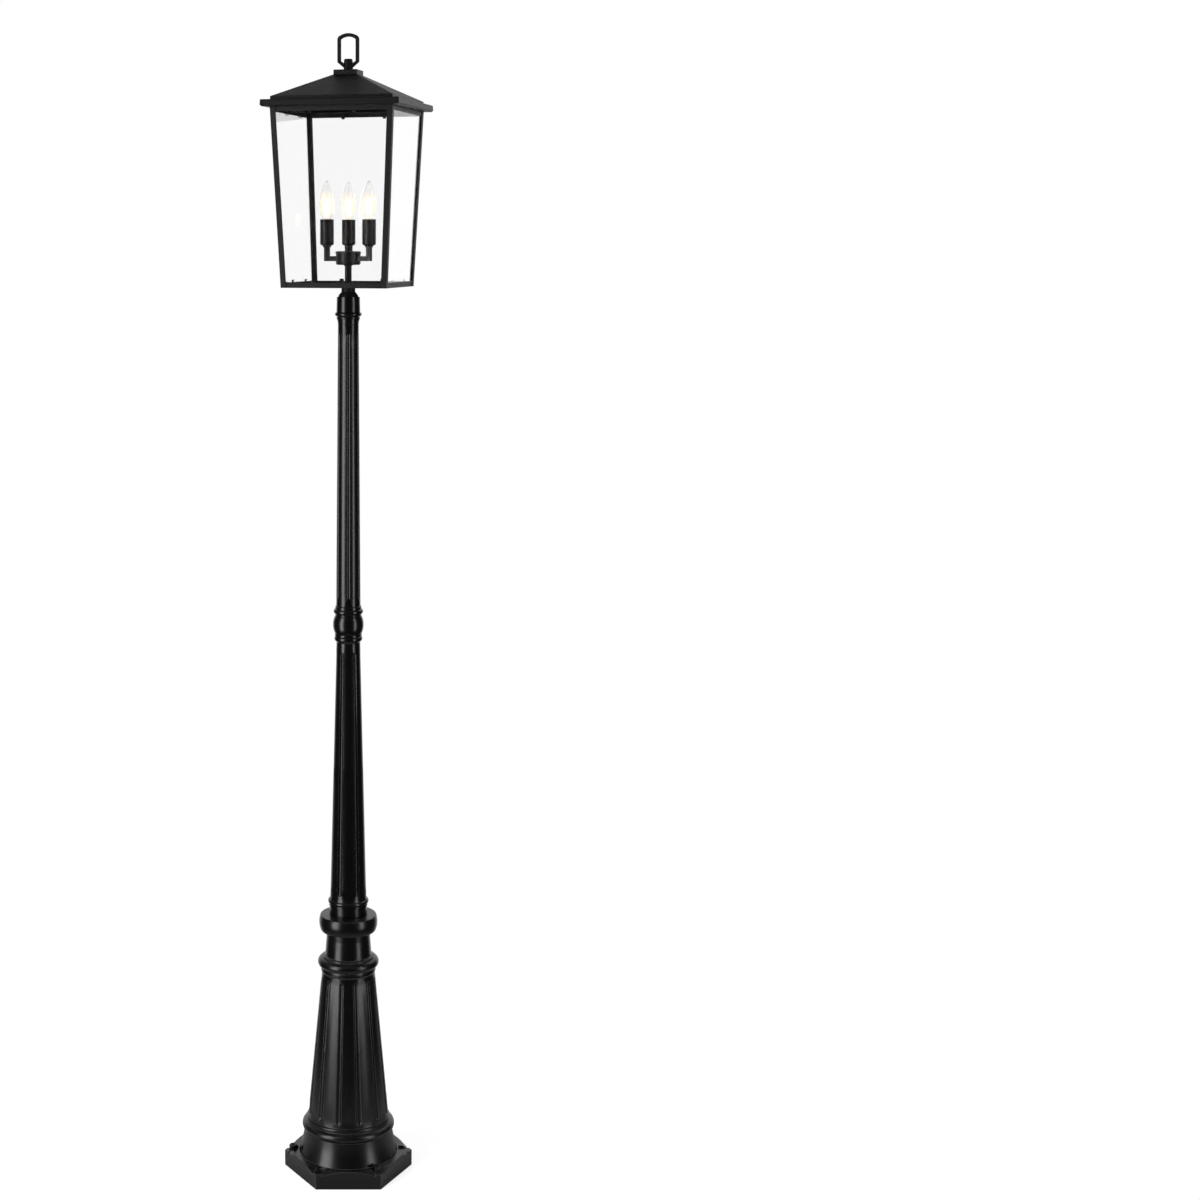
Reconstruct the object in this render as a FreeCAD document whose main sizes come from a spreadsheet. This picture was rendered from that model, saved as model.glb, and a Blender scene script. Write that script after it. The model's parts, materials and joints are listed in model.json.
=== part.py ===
"""A lamp post with one square glass lantern that holds three candle bulbs.

The post stands on a hexagonal cast flange at z = 0, on the vertical axis. The lantern's front pane
looks along -Y. Lengths are millimetres and angles are degrees.
"""
import FreeCAD, Part

import math
import os

import Sketcher

Vector = FreeCAD.Vector
Rotation = FreeCAD.Rotation
Placement = FreeCAD.Placement
X_AXIS = Vector(1, 0, 0)
Y_AXIS = Vector(0, 1, 0)
Z_AXIS = Vector(0, 0, 1)

ARC = "arc"
HEXAGON = 6
LANTERN_SIDES = 4
ARM_TURNS = {"rear": 105, "left": 225, "right": 345}
PANE_TURNS = {"front": 0, "right": 90, "back": 180, "left": 270}

SIZES = {
    # Hexagonal flange of the base casting, and its anchors
    "post_turn": 16.04,
    "flange_corner_radius": 157.8,
    "flange_height": 44.5,
    "flange_chamfer_slope": 0.72,
    "pad_drop": 5.5,
    "pad_width": 22.0,
    "pad_reach": 13.0,
    "pad_angle": 8.0,
    "anchor_circle_radius": 137.0,
    "anchor_hole_radius": 5.5,
    "anchor_count": 3,
    "anchor_bore_radius": 5.0,
    "anchor_washer_radius": 10.5,
    "anchor_washer_thickness": 2.0,
    "anchor_nut_width": 17.0,
    "anchor_nut_height": 13.0,
    # Column of the base casting, from the flange upwards
    "skirt_foot_radius": 123.3,
    "skirt_foot_height": 42.0,
    "skirt_rise": 61.7,
    "skirt_hollow": 1.9,
    "waist_radius": 107.8,
    "waist_bead_radius": 113.8,
    "waist_bead_height": 21.6,
    "fillet_radius": 103.8,
    "fillet_height": 8.4,
    "fillet_depth": 2.0,
    "fillet_gap": 2.2,
    "cone_foot_radius": 99.2,
    "cone_top_radius": 64.8,
    "cone_height": 370.0,
    "cone_ring_radius": 66.8,
    "cone_ring_height": 6.0,
    "cone_ring_lead": 3.5,
    "neck_bead_radius": 74.4,
    "neck_bead_height": 24.0,
    "neck_bead_depth": 9.5,
    "neck_ring_radius": 62.3,
    "neck_ring_height": 4.0,
    "neck_foot_radius": 56.6,
    "neck_radius": 53.3,
    "neck_height": 90.9,
    "base_wall": 6.0,
    "base_top_plate": 12.0,
    "base_flutes": 12,
    "base_flute_depth": 3.8,
    "base_flute_width_low": 15.0,
    "base_flute_width_high": 11.5,
    "base_flute_gap_low": 8.0,
    "base_flute_gap_high": 11.0,
    # Collar round the lower shaft's foot
    "collar_height": 39.5,
    "collar_foot_radius": 65.5,
    "collar_widest_radius": 70.4,
    "collar_widest_height": 13.5,
    "collar_top_radius": 68.4,
    "collar_top_plate": 13.0,
    "collar_bevel": 1.6,
    # Lower shaft
    "lower_shaft_length": 688.0,
    "lower_foot_radius": 45.6,
    "lower_foot_height": 37.0,
    "lower_ring_radius": 46.8,
    "lower_ring_height": 5.2,
    "lower_bead_radius": 49.3,
    "lower_bead_height": 11.0,
    "lower_bead_depth": 3.6,
    "lower_radius_low": 43.8,
    "lower_radius_high": 28.3,
    "lower_taper_lead": 6.0,
    "lower_wall": 5.8,
    "lower_spigot_radius": 29.9,
    "lower_spigot_length": 30.0,
    "shaft_flutes": 6,
    "lower_flute_depth": 3.4,
    "lower_flute_width_low": 12.6,
    "lower_flute_width_high": 9.6,
    "lower_flute_gap_low": 15.0,
    "lower_flute_gap_high": 22.0,
    # Knuckle between the shafts
    "knuckle_foot_radius": 28.0,
    "knuckle_foot_height": 3.0,
    "knuckle_bead_radius": 33.4,
    "knuckle_bead_height": 12.5,
    "knuckle_bead_depth": 3.3,
    "knuckle_ring_radius": 32.0,
    "knuckle_ring_height": 4.5,
    "ball_radius": 36.5,
    "ball_height": 45.0,
    "ball_end_radius": 31.0,
    "knuckle_waist_height": 4.0,
    "crown_radius": 35.1,
    "crown_height": 11.5,
    "knuckle_top_radius": 31.0,
    "knuckle_top_height": 7.5,
    "cable_bore_radius": 12.0,
    "socket_bore_radius": 18.0,
    "spigot_clearance": 0.1,
    "spigot_length": 25.0,
    # Upper shaft and the capital on it
    "upper_shaft_length": 661.4,
    "upper_radius_low": 29.0,
    "upper_radius_high": 24.3,
    "upper_flute_depth": 3.0,
    "upper_flute_width": 9.8,
    "upper_flute_gap_low": 18.0,
    "upper_flute_gap_high": 20.0,
    "flare_radius": 27.2,
    "flare_height": 15.7,
    "flare_hollow": 0.7,
    "flare_lip": 2.5,
    "capital_ring_radius": 31.1,
    "capital_ring_height": 9.5,
    "capital_ring_depth": 3.8,
    "capital_spigot_radius": 24.0,
    "capital_spigot_height": 10.0,
    # Collar on the capital, closed above by a plate
    "fitter_height": 35.0,
    "fitter_foot_radius": 27.6,
    "fitter_top_radius": 26.7,
    "fitter_plate": 3.0,
    "turning_clearance": 0.05,
    # Neck cup under the lantern, and the threaded nipple through it
    "cup_height": 22.3,
    "cup_rim_radius": 23.3,
    "cup_rim_height": 4.0,
    "cup_rim_draft": 0.9,
    "cup_neck_radius": 16.0,
    "cup_sweep_height": 7.6,
    "cup_wall": 3.0,
    "nipple_radius": 5.0,
    "nipple_bore_radius": 3.2,
    "nipple_end": 2.0,
    "nipple_nut_width": 16.0,
    "nipple_nut_height": 6.0,
    "bore_clearance": 0.1,
    # Lantern frame
    "lantern_half_low": 124.0,
    "lantern_half_high": 141.6,
    "lantern_height": 399.5,
    "sheet": 1.5,
    "post_flange": 13.0,
    "tray_height": 12.0,
    "band_height": 10.3,
    "frame_lip": 10.0,
    "soffit_thickness": 2.3,
    "soffit_half_low": 156.5,
    "glass_thickness": 3.0,
    "glass_play": 0.5,
    "clip_offset": 50.0,
    "clip_width": 10.0,
    "clip_height": 17.0,
    "clip_sheet": 1.0,
    "clip_reach": 4.0,
    "clip_gap": 0.2,
    "hook_width": 6.0,
    "hook_drop": 10.0,
    "hook_radius": 4.5,
    "roof_screw_offset": 148.5,
    "roof_screw_radius": 2.0,
    "roof_screw_head_radius": 3.7,
    "roof_screw_head": 2.4,
    # Roof
    "eave_half": 160.0,
    "eave_height": 12.7,
    "eave_draft": 0.8,
    "eave_round": 2.4,
    "step_half": 141.1,
    "step_height": 8.0,
    "step_round": 1.2,
    "roof_rise": 52.3,
    "roof_plate": 1.65,
    "roof_tab_width": 14.0,
    "roof_tab_length": 17.0,
    "roof_tab_thickness": 3.0,
    "cap_half": 27.6,
    "cap_height": 10.8,
    "cap_round": 1.5,
    "stud_radius": 4.0,
    "stud_nut_width": 13.0,
    "stud_nut_height": 5.0,
    # Finial
    "boss_foot_radius": 10.8,
    "boss_top_radius": 9.9,
    "boss_height": 24.7,
    "boss_round": 3.0,
    "loop_half_width": 25.5,
    "loop_bar": 8.2,
    "loop_depth": 8.0,
    "loop_bevel": 2.2,
    "loop_height": 81.2,
    "loop_crown": 7.8,
    "loop_side_low": 17.8,
    "loop_side_high": 67.4,
    "loop_shoulder_width": 5.2,
    "loop_shoulder_height": 8.2,
    "loop_root_low": 2.5,
    "loop_root_high": 13.6,
    "loop_root_half": 7.0,
    # Light cluster
    "stem_radius": 7.9,
    "stem_flange_radius": 9.75,
    "stem_flange_thickness": 2.6,
    "stem_top_height": 48.0,
    "hub_radius": 28.5,
    "hub_height": 26.0,
    "hub_wall": 2.0,
    "hub_round": 4.0,
    "hub_lid_radius": 29.7,
    "hub_lid_thickness": 5.0,
    "hub_lid_step": 1.4,
    "locknut_width": 14.0,
    "locknut_height": 4.0,
    "cluster_radius": 55.5,
    "arm_width": 10.4,
    "arm_height": 11.2,
    "arm_rise": 8.7,
    "arm_entry": 3.0,
    "arm_top_rise": 40.1,
    "arm_bore_radius": 3.0,
    "rear_upright_radius": 9.2,
    "washer_radius": 9.7,
    "washer_thickness": 3.9,
    "sleeve_radius": 15.7,
    "sleeve_height": 58.7,
    "sleeve_wall": 1.2,
    "sleeve_round": 5.0,
    "socket_clearance": 0.2,
    "socket_bore_depth": 16.0,
    # Candle bulb, measured from the sleeve's mouth
    "cap_radius": 5.9,
    "cap_collar_radius": 6.9,
    "cap_collar_height": 1.5,
    "cap_top_depth": 12.0,
    "cap_length": 15.0,
    "cap_cone": 3.5,
    "cap_wall": 0.8,
    "contact_radius": 3.2,
    "contact_thickness": 2.0,
    "contact_gap": 0.3,
    "bulb_neck_radius": 6.3,
    "bulb_mouth_radius": 8.45,
    "belly_radius": 17.2,
    "belly_height": 33.0,
    "tip_radius": 6.2,
    "tip_height": 78.8,
    "bulb_height": 86.3,
    "pip_radius": 0.9,
    "bulb_wall": 0.7,
    "filament_disc_radius": 5.2,
    "filament_disc_thickness": 1.2,
    "filament_stem_radius": 2.6,
    "filament_stem_height": 18.0,
    "filament_rod_radius": 0.8,
    "filament_rod_circle": 4.0,
    "filament_rod_foot": 9.0,
    "filament_rod_length": 34.0,
    "filament_rods": 4,
    "screw_play": 0.05,
}

doc = FreeCAD.newDocument("LampPost")
sheet = doc.addObject("Spreadsheet::Sheet", "Sizes")
for row, (alias, number) in enumerate(SIZES.items(), start=1):
    sheet.set(f"A{row}", alias)
    sheet.set(f"B{row}", str(number))
    sheet.setAlias(f"B{row}", alias)
doc.recompute()


# ---------------------------------------------------------------- sizes that follow the sheet

class Size:
    """A size that knows its number now and the sheet formula that gives it."""

    def __init__(self, number, formula):
        self.number = float(number)
        self.formula = formula

    def __add__(self, other):
        other = as_size(other)
        return Size(self.number + other.number, f"({self.formula} + {other.formula})")

    def __sub__(self, other):
        other = as_size(other)
        return Size(self.number - other.number, f"({self.formula} - {other.formula})")

    def __mul__(self, other):
        other = as_size(other)
        return Size(self.number * other.number, f"({self.formula} * {other.formula})")

    def __truediv__(self, other):
        other = as_size(other)
        return Size(self.number / other.number, f"({self.formula} / {other.formula})")

    def __radd__(self, other):
        return as_size(other) + self

    def __rsub__(self, other):
        return as_size(other) - self

    def __rmul__(self, other):
        return as_size(other) * self

    def __neg__(self):
        return as_size(0) - self

    def root(self):
        return Size(math.sqrt(self.number), f"sqrt({self.formula})")


class DrivingSizes:
    """Gives each named cell of the sheet as an attribute."""

    def __getattr__(self, alias):
        return Size(getattr(sheet, alias), f"Sizes.{alias}")


def as_size(value):
    """Give a plain number the same form as a size from the sheet."""
    if isinstance(value, Size):
        return value
    return Size(value, f"{float(value):.6f}")


def is_zero(value):
    return "Sizes" not in value.formula and abs(value.number) < 1e-9


def cosine(degrees):
    return math.cos(math.radians(degrees))


def sine(degrees):
    return math.sin(math.radians(degrees))


S = DrivingSizes()
ZERO = as_size(0)
parts = []


# ---------------------------------------------------------------- helpers

def bind(thing, **sizes):
    """Drive properties of an object from the sheet."""
    for name, value in sizes.items():
        value = as_size(value)
        setattr(thing, name, int(value.number) if name == "Occurrences" else value.number)
        thing.setExpression(name, value.formula)


def place(thing, x=0, y=0, z=0, rotation=None):
    """Put an object at sheet-driven coordinates."""
    spot = [as_size(x), as_size(y), as_size(z)]
    thing.Placement = Placement(Vector(*[value.number for value in spot]), rotation or Rotation())
    for letter, value in zip("xyz", spot):
        if not is_zero(value):
            thing.setExpression(f"Placement.Base.{letter}", value.formula)


def turn(thing, angle):
    """Turn an object about the vertical by a sheet-driven angle under a half turn."""
    thing.Placement = Placement(thing.Placement.Base, Rotation(Z_AXIS, angle.number))
    thing.setExpression("Placement.Rotation.Angle", angle.formula)


def keep(thing, label):
    """Name a finished piece and put it on the list of parts."""
    thing.Label = label
    parts.append(thing)
    return thing


def new_body(label):
    return doc.addObject("PartDesign::Body", label + "_body")


def own_origin(body, role):
    return [feature for feature in body.Origin.OriginFeatures if feature.Role == role][0]


def new_sketch(body, name, turned=0, role="XZ_Plane"):
    """Start a sketch on one of the body's own planes, turned about the plane's second axis."""
    sketch = body.newObject("Sketcher::SketchObject", name)
    sketch.AttachmentSupport = [(own_origin(body, role), "")]
    sketch.MapMode = "FlatFace"
    sketch.AttachmentOffset = Placement(Vector(0, 0, 0), Rotation(Y_AXIS, turned))
    return sketch


def flat(point):
    return Vector(as_size(point[0]).number, as_size(point[1]).number, 0)


def pin(sketch, geometry, point, x, y):
    """Fix one point of a sketch at two sheet-driven coordinates."""
    for kind, axis, value in (("DistanceX", -2, as_size(x)), ("DistanceY", -1, as_size(y))):
        if is_zero(value):
            sketch.addConstraint(Sketcher.Constraint("PointOnObject", geometry, point, axis))
            continue
        index = sketch.addConstraint(Sketcher.Constraint(kind, -1, 1, geometry, point, value.number))
        sketch.setExpression(f"Constraints[{index}]", value.formula)


def draw_axis(sketch, low, high):
    """A construction line, which a feature can turn about."""
    line = sketch.addGeometry(Part.LineSegment(flat(low), flat(high)), True)
    pin(sketch, line, 1, *low)
    pin(sketch, line, 2, *high)


def draw_arc(sketch, start, middle, end):
    """Draw an arc through three points and tell which of its ends is the start."""
    anticlockwise = (flat(middle) - flat(start)).cross(flat(end) - flat(start)).z > 0
    first, last = (start, end) if anticlockwise else (end, start)
    arc = sketch.addGeometry(Part.Arc(flat(first), flat(middle), flat(last)), False)
    marker = sketch.addGeometry(Part.Point(flat(middle)), True)
    sketch.addConstraint(Sketcher.Constraint("PointOnObject", marker, 1, arc))
    pin(sketch, marker, 1, middle[0], middle[1])
    return (arc, 1, 2) if anticlockwise else (arc, 2, 1)


def draw_outline(sketch, points):
    """Draw a closed outline. A point marked ARC lies on an arc, and the others are corners."""
    corners = [index for index, point in enumerate(points) if len(point) == 2]
    edges = []
    for order, index in enumerate(corners):
        following = corners[(order + 1) % len(corners)]
        if (following - index) % len(points) == 1:
            line = sketch.addGeometry(Part.LineSegment(flat(points[index]), flat(points[following])), False)
            edges.append((line, 1, 2))
        else:
            edges.append(draw_arc(sketch, points[index], points[index + 1], points[following]))
    for order, index in enumerate(corners):
        edge, start, _ = edges[order]
        before, _, end = edges[order - 1]
        sketch.addConstraint(Sketcher.Constraint("Coincident", before, end, edge, start))
        pin(sketch, edge, start, *points[index])


def revolve(body, sketch, kind="Revolution", axis="V_Axis"):
    """Turn a sketch about an axis of its own, adding or cutting."""
    feature = body.newObject("PartDesign::" + kind, sketch.Name + "_turned")
    feature.Profile = sketch
    feature.ReferenceAxis = (sketch, [axis])
    feature.Angle = 360
    return feature


def repeat(body, features, count):
    """Repeat features evenly round the body's vertical axis."""
    repeated = body.newObject("PartDesign::PolarPattern", features[0].Name + "_repeated")
    repeated.Originals = features
    repeated.Axis = (own_origin(body, "Z_Axis"), [""])
    repeated.Angle = 360
    bind(repeated, Occurrences=count)
    body.Tip = repeated


def turned_piece(label, points, x=0, y=0, z=0):
    """A piece turned from one closed outline of (radius, height) points."""
    body = new_body(label)
    sketch = new_sketch(body, label + "_outline")
    draw_outline(sketch, points)
    revolve(body, sketch)
    place(body, x, y, z)
    return keep(body, label)


def bead(radius, low, height, depth):
    """Three outline points of a rounded bead."""
    return [(radius - depth, low), (radius, low + height / 2, ARC), (radius - depth, low + height)]


def cut_flutes(body, name, count, turned, low, high, widths, depth):
    """Cut round-ended flutes into a taper. low and high give (surface radius, height) at a flute's ends."""
    radius_low, radius_high = [(width * width / 4 + depth * depth) / (depth * 2) for width in widths]
    foot = (low[0] + radius_low - depth, low[1] + widths[0] / 2 - radius_low)
    head = (high[0] + radius_high - depth, high[1] - widths[1] / 2 + radius_high)
    across, up = head[0] - foot[0], head[1] - foot[1]
    length = (across * across + up * up).root()
    along_x, along_z = across / length, up / length

    def point(end, along, inwards):
        return (end[0] + along_x * along - along_z * inwards, end[1] + along_z * along + along_x * inwards)

    diagonal = cosine(45)
    sketch = new_sketch(body, name, turned)
    draw_axis(sketch, foot, head)
    draw_outline(sketch, [
        foot,
        (*point(foot, radius_low * (1 - diagonal), radius_low * diagonal), ARC),
        point(foot, radius_low, radius_low),
        point(head, -radius_high, radius_high),
        (*point(head, radius_high * (diagonal - 1), radius_high * diagonal), ARC),
        head,
    ])
    repeat(body, [revolve(body, sketch, "Groove", "Axis0")], count)


def primitive(body, kind, name, x=0, y=0, z=0, rotation=None, **sizes):
    """A primitive added to or cut from a body."""
    feature = body.newObject("PartDesign::" + kind, name)
    bind(feature, **sizes)
    place(feature, x, y, z, rotation)
    body.Tip = feature
    return feature


def block(body, kind, name, length, width, height, x=0, y=0, z=0):
    """A box centred on x and y, standing on z."""
    length, width = as_size(length), as_size(width)
    return primitive(body, kind, name, x - length / 2, y - width / 2, z,
                     Length=length, Width=width, Height=height)


def wedge_sizes(low, high, x_low, x_high, y_low, y_high):
    """Sizes of a leaning block from height low to height high. x_low and x_high hold its ends across at
    the bottom and at the top, and y_low and y_high hold how far it lies towards -Y."""
    return dict(Ymin=low, Ymax=high,
                Xmin=x_low[0], Xmax=x_low[1], X2min=x_high[0], X2max=x_high[1],
                Zmin=y_low[0], Zmax=y_low[1], Z2min=y_high[0], Z2max=y_high[1])


def square_sizes(low, high, half_low, half_high):
    """Sizes of a block centred on the axis that widens or narrows evenly on its four sides."""
    bottom, top = (-half_low, half_low), (-half_high, half_high)
    return wedge_sizes(low, high, bottom, top, bottom, top)


UPWARDS = Rotation(X_AXIS, 90)


def wedge(name, sizes, rotation=UPWARDS, z=0):
    thing = doc.addObject("Part::Wedge", name)
    bind(thing, **sizes)
    place(thing, z=z, rotation=rotation)
    return thing


def cylinder(name, radius, height, x=0, z=0):
    thing = doc.addObject("Part::Cylinder", name)
    bind(thing, Radius=radius, Height=height)
    place(thing, x=x, z=z)
    return thing


def subtract(name, base, tool):
    thing = doc.addObject("Part::Cut", name)
    thing.Base = base
    thing.Tool = tool
    return thing


def finish_edges(body, kind, name, base, chosen, **sizes):
    """Round or bevel the edges of a feature whose end points pass a test."""
    doc.recompute()
    names = []
    for index, edge in enumerate(base.Shape.Edges, start=1):
        ends = [vertex.Point for vertex in edge.Vertexes]
        if ends and chosen(ends):
            names.append(f"Edge{index}")
    feature = body.newObject("PartDesign::" + kind, name)
    feature.Base = (base, names)
    bind(feature, **sizes)
    body.Tip = feature
    return feature


def round_above(body, name, base, level, radius):
    """Round every edge that reaches above a level."""
    limit = as_size(level).number + 0.1
    return finish_edges(body, "Fillet", name, base, lambda ends: max(end.z for end in ends) > limit,
                        Radius=radius)


def nut_piece(label, width, height, bore, z, circle=ZERO, count=ZERO):
    """Hexagonal nuts, their upper corners turned off: one on the axis, or several on a circle."""
    body = new_body(label)
    corner = width / cosine(30) / 2
    prism = body.newObject("PartDesign::AdditivePrism", label + "_prism")
    prism.Polygon = HEXAGON
    bind(prism, Circumradius=corner, Height=height)
    place(prism, x=circle)
    sketch = new_sketch(body, label + "_crown")
    draw_axis(sketch, (circle, ZERO), (circle, height))
    draw_outline(sketch, [
        (circle + width / 2, height),
        (circle + width, height),
        (circle + width, height - width / 4),
    ])
    crown = revolve(body, sketch, "Groove", "Axis0")
    hole = primitive(body, "SubtractiveCylinder", label + "_bore", x=circle, Radius=bore, Height=height)
    if not is_zero(count):
        repeat(body, [prism, crown, hole], count)
    place(body, z=z)
    return keep(body, label)


# ---------------------------------------------------------------- heights of the stack

WAIST = S.skirt_foot_height + S.skirt_rise
CONE_FOOT = WAIST + S.waist_bead_height + S.fillet_gap * 2 + S.fillet_height
CONE_TOP = CONE_FOOT + S.cone_height
NECK_BEAD = CONE_TOP + S.cone_ring_lead * 2 + S.cone_ring_height
NECK_FOOT = NECK_BEAD + S.neck_bead_height + S.neck_ring_height
BASE_TOP = NECK_FOOT + S.neck_height
KNUCKLE_SEAT = BASE_TOP + S.lower_shaft_length
KNUCKLE_HEIGHT = (S.knuckle_foot_height + S.knuckle_bead_height + S.knuckle_ring_height + S.ball_height
                  + S.knuckle_waist_height + S.crown_height + S.knuckle_top_height)
UPPER_SEAT = KNUCKLE_SEAT + KNUCKLE_HEIGHT
CAPITAL_SEAT = UPPER_SEAT + S.upper_shaft_length
FITTER_SEAT = CAPITAL_SEAT + S.flare_height + S.flare_lip + S.capital_ring_height
FITTER_TOP = FITTER_SEAT + S.fitter_height
LANTERN = FITTER_TOP + S.cup_height
SOFFIT = LANTERN + S.lantern_height
EAVE = SOFFIT + S.soffit_thickness
CAP_SEAT = EAVE + S.eave_height + S.step_height + S.roof_rise
CAP_TOP = CAP_SEAT + S.cap_height
HUB = LANTERN + S.stem_top_height + S.stem_flange_thickness
ARM_TOP = HUB + S.arm_top_rise
SLEEVE_FOOT = ARM_TOP + S.washer_thickness
MOUTH = SLEEVE_FOOT + S.sleeve_height

SPIGOT_RADIUS = S.socket_bore_radius - S.spigot_clearance
NIPPLE_HOLE = S.nipple_radius + S.bore_clearance
SCREW_HOLE = S.roof_screw_radius + S.bore_clearance
STUD_HOLE = S.stud_radius + S.bore_clearance


# ---------------------------------------------------------------- the post

def make_flange(body):
    """Hexagon whose flats' upper edges arch, with a lower pad on each corner."""
    apothem = S.flange_corner_radius * cosine(30)
    outside = S.flange_corner_radius + S.pad_width
    fall = (outside - apothem) * S.flange_chamfer_slope
    prism = body.newObject("PartDesign::AdditivePrism", "Flange")
    prism.Polygon = HEXAGON
    bind(prism, Circumradius=S.flange_corner_radius, Height=S.flange_height)
    arch_sketch = new_sketch(body, "FlangeArch", turned=-30)
    draw_outline(arch_sketch, [
        (apothem, S.flange_height),
        (outside, S.flange_height - fall),
        (outside, S.flange_height),
    ])
    arch = revolve(body, arch_sketch, "Groove")
    arch.Midplane = True
    bind(arch, Angle=60 - S.pad_angle)
    repeat(body, [arch], as_size(HEXAGON))
    recess = primitive(body, "SubtractiveBox", "PadRecess",
                       S.anchor_circle_radius - S.pad_reach, S.pad_width / -2, S.flange_height - S.pad_drop,
                       Length=S.flange_corner_radius, Width=S.pad_width, Height=S.pad_drop)
    repeat(body, [recess], as_size(HEXAGON))


def make_column(body):
    """Skirt, beads, cone and neck above the flange."""
    middle = (S.skirt_foot_radius + S.waist_radius) / 2 - S.skirt_hollow
    ring = CONE_TOP + S.cone_ring_lead
    sketch = new_sketch(body, "Column")
    draw_outline(sketch, [
        (ZERO, S.flange_height - S.pad_drop * 2),
        (S.skirt_foot_radius, S.flange_height - S.pad_drop * 2),
        (S.skirt_foot_radius, S.skirt_foot_height),
        (middle, S.skirt_foot_height + S.skirt_rise / 2, ARC),
        (S.waist_radius, WAIST),
        (S.waist_bead_radius, WAIST + S.waist_bead_height / 2, ARC),
        (S.fillet_radius, WAIST + S.waist_bead_height),
        *bead(S.fillet_radius, WAIST + S.waist_bead_height + S.fillet_gap, S.fillet_height, S.fillet_depth),
        (S.cone_foot_radius, CONE_FOOT),
        (S.cone_top_radius, CONE_TOP),
        (S.cone_ring_radius, ring),
        (S.cone_ring_radius, ring + S.cone_ring_height),
        *bead(S.neck_bead_radius, NECK_BEAD, S.neck_bead_height, S.neck_bead_depth),
        (S.neck_ring_radius, NECK_BEAD + S.neck_bead_height),
        (S.neck_ring_radius, NECK_FOOT),
        (S.neck_foot_radius, NECK_FOOT + S.neck_ring_height / 2),
        (S.neck_radius, NECK_FOOT + S.neck_height / 2),
        (S.neck_radius, BASE_TOP),
        (ZERO, BASE_TOP),
    ])
    revolve(body, sketch)


def make_base_casting():
    """Flange, skirt, beads and fluted cone, cast hollow in one piece."""
    body = new_body("base_casting")
    make_flange(body)
    make_column(body)
    taper = (S.cone_top_radius - S.cone_foot_radius) / S.cone_height
    start, end = CONE_FOOT + S.base_flute_gap_low, CONE_TOP - S.base_flute_gap_high
    cut_flutes(body, "BaseFlute", S.base_flutes, -15,
               (S.cone_foot_radius + taper * (start - CONE_FOOT), start),
               (S.cone_foot_radius + taper * (end - CONE_FOOT), end),
               (S.base_flute_width_low, S.base_flute_width_high), S.base_flute_depth)
    bore = S.lower_spigot_radius + S.spigot_clearance
    ceiling = BASE_TOP - S.base_top_plate
    hollow = new_sketch(body, "Hollow")
    draw_outline(hollow, [
        (ZERO, ZERO),
        (S.fillet_radius - S.base_wall, ZERO),
        (S.fillet_radius - S.base_wall, WAIST),
        (S.cone_foot_radius - S.base_wall, CONE_FOOT),
        (S.cone_top_radius - S.base_wall, CONE_TOP),
        (S.neck_radius - S.base_wall, NECK_FOOT),
        (S.neck_radius - S.base_wall, ceiling),
        (bore, ceiling),
        (bore, BASE_TOP),
        (ZERO, BASE_TOP),
    ])
    revolve(body, hollow, "Groove")
    anchor = primitive(body, "SubtractiveCylinder", "AnchorHole",
                       S.anchor_circle_radius * cosine(60), S.anchor_circle_radius * sine(60), 0,
                       Radius=S.anchor_hole_radius, Height=S.flange_height)
    repeat(body, [anchor], S.anchor_count)
    turn(body, S.post_turn)
    keep(body, "base_casting")


def make_anchor_hardware():
    """Washers and nuts on alternate corner pads, bored for the foundation's studs."""
    seat = S.flange_height - S.pad_drop
    washers = new_body("anchor_washers")
    disc = primitive(washers, "AdditiveCylinder", "WasherDisc", x=S.anchor_circle_radius,
                     Radius=S.anchor_washer_radius, Height=S.anchor_washer_thickness)
    bore = primitive(washers, "SubtractiveCylinder", "WasherBore", x=S.anchor_circle_radius,
                     Radius=S.anchor_bore_radius, Height=S.anchor_washer_thickness)
    repeat(washers, [disc, bore], S.anchor_count)
    place(washers, z=seat)
    turn(washers, S.post_turn + 60)
    keep(washers, "anchor_washers")
    nuts = nut_piece("anchor_nuts", S.anchor_nut_width, S.anchor_nut_height, S.anchor_bore_radius,
                     seat + S.anchor_washer_thickness, S.anchor_circle_radius, S.anchor_count)
    turn(nuts, S.post_turn + 60)


def make_base_collar():
    """Thick ring that sits on the base's neck and hides the joint."""
    bore = S.neck_radius + S.spigot_clearance
    opening = S.lower_foot_radius + S.spigot_clearance
    shelf = S.collar_height - S.collar_top_plate
    turned_piece("base_collar", [
        (bore, ZERO),
        (S.collar_foot_radius, ZERO),
        (S.collar_foot_radius + S.collar_bevel, S.collar_bevel),
        (S.collar_widest_radius, S.collar_widest_height, ARC),
        (S.collar_top_radius, S.collar_height - S.collar_bevel),
        (S.collar_top_radius - S.collar_bevel, S.collar_height),
        (opening, S.collar_height),
        (opening, shelf),
        (bore, shelf),
    ], z=BASE_TOP - shelf)


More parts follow.
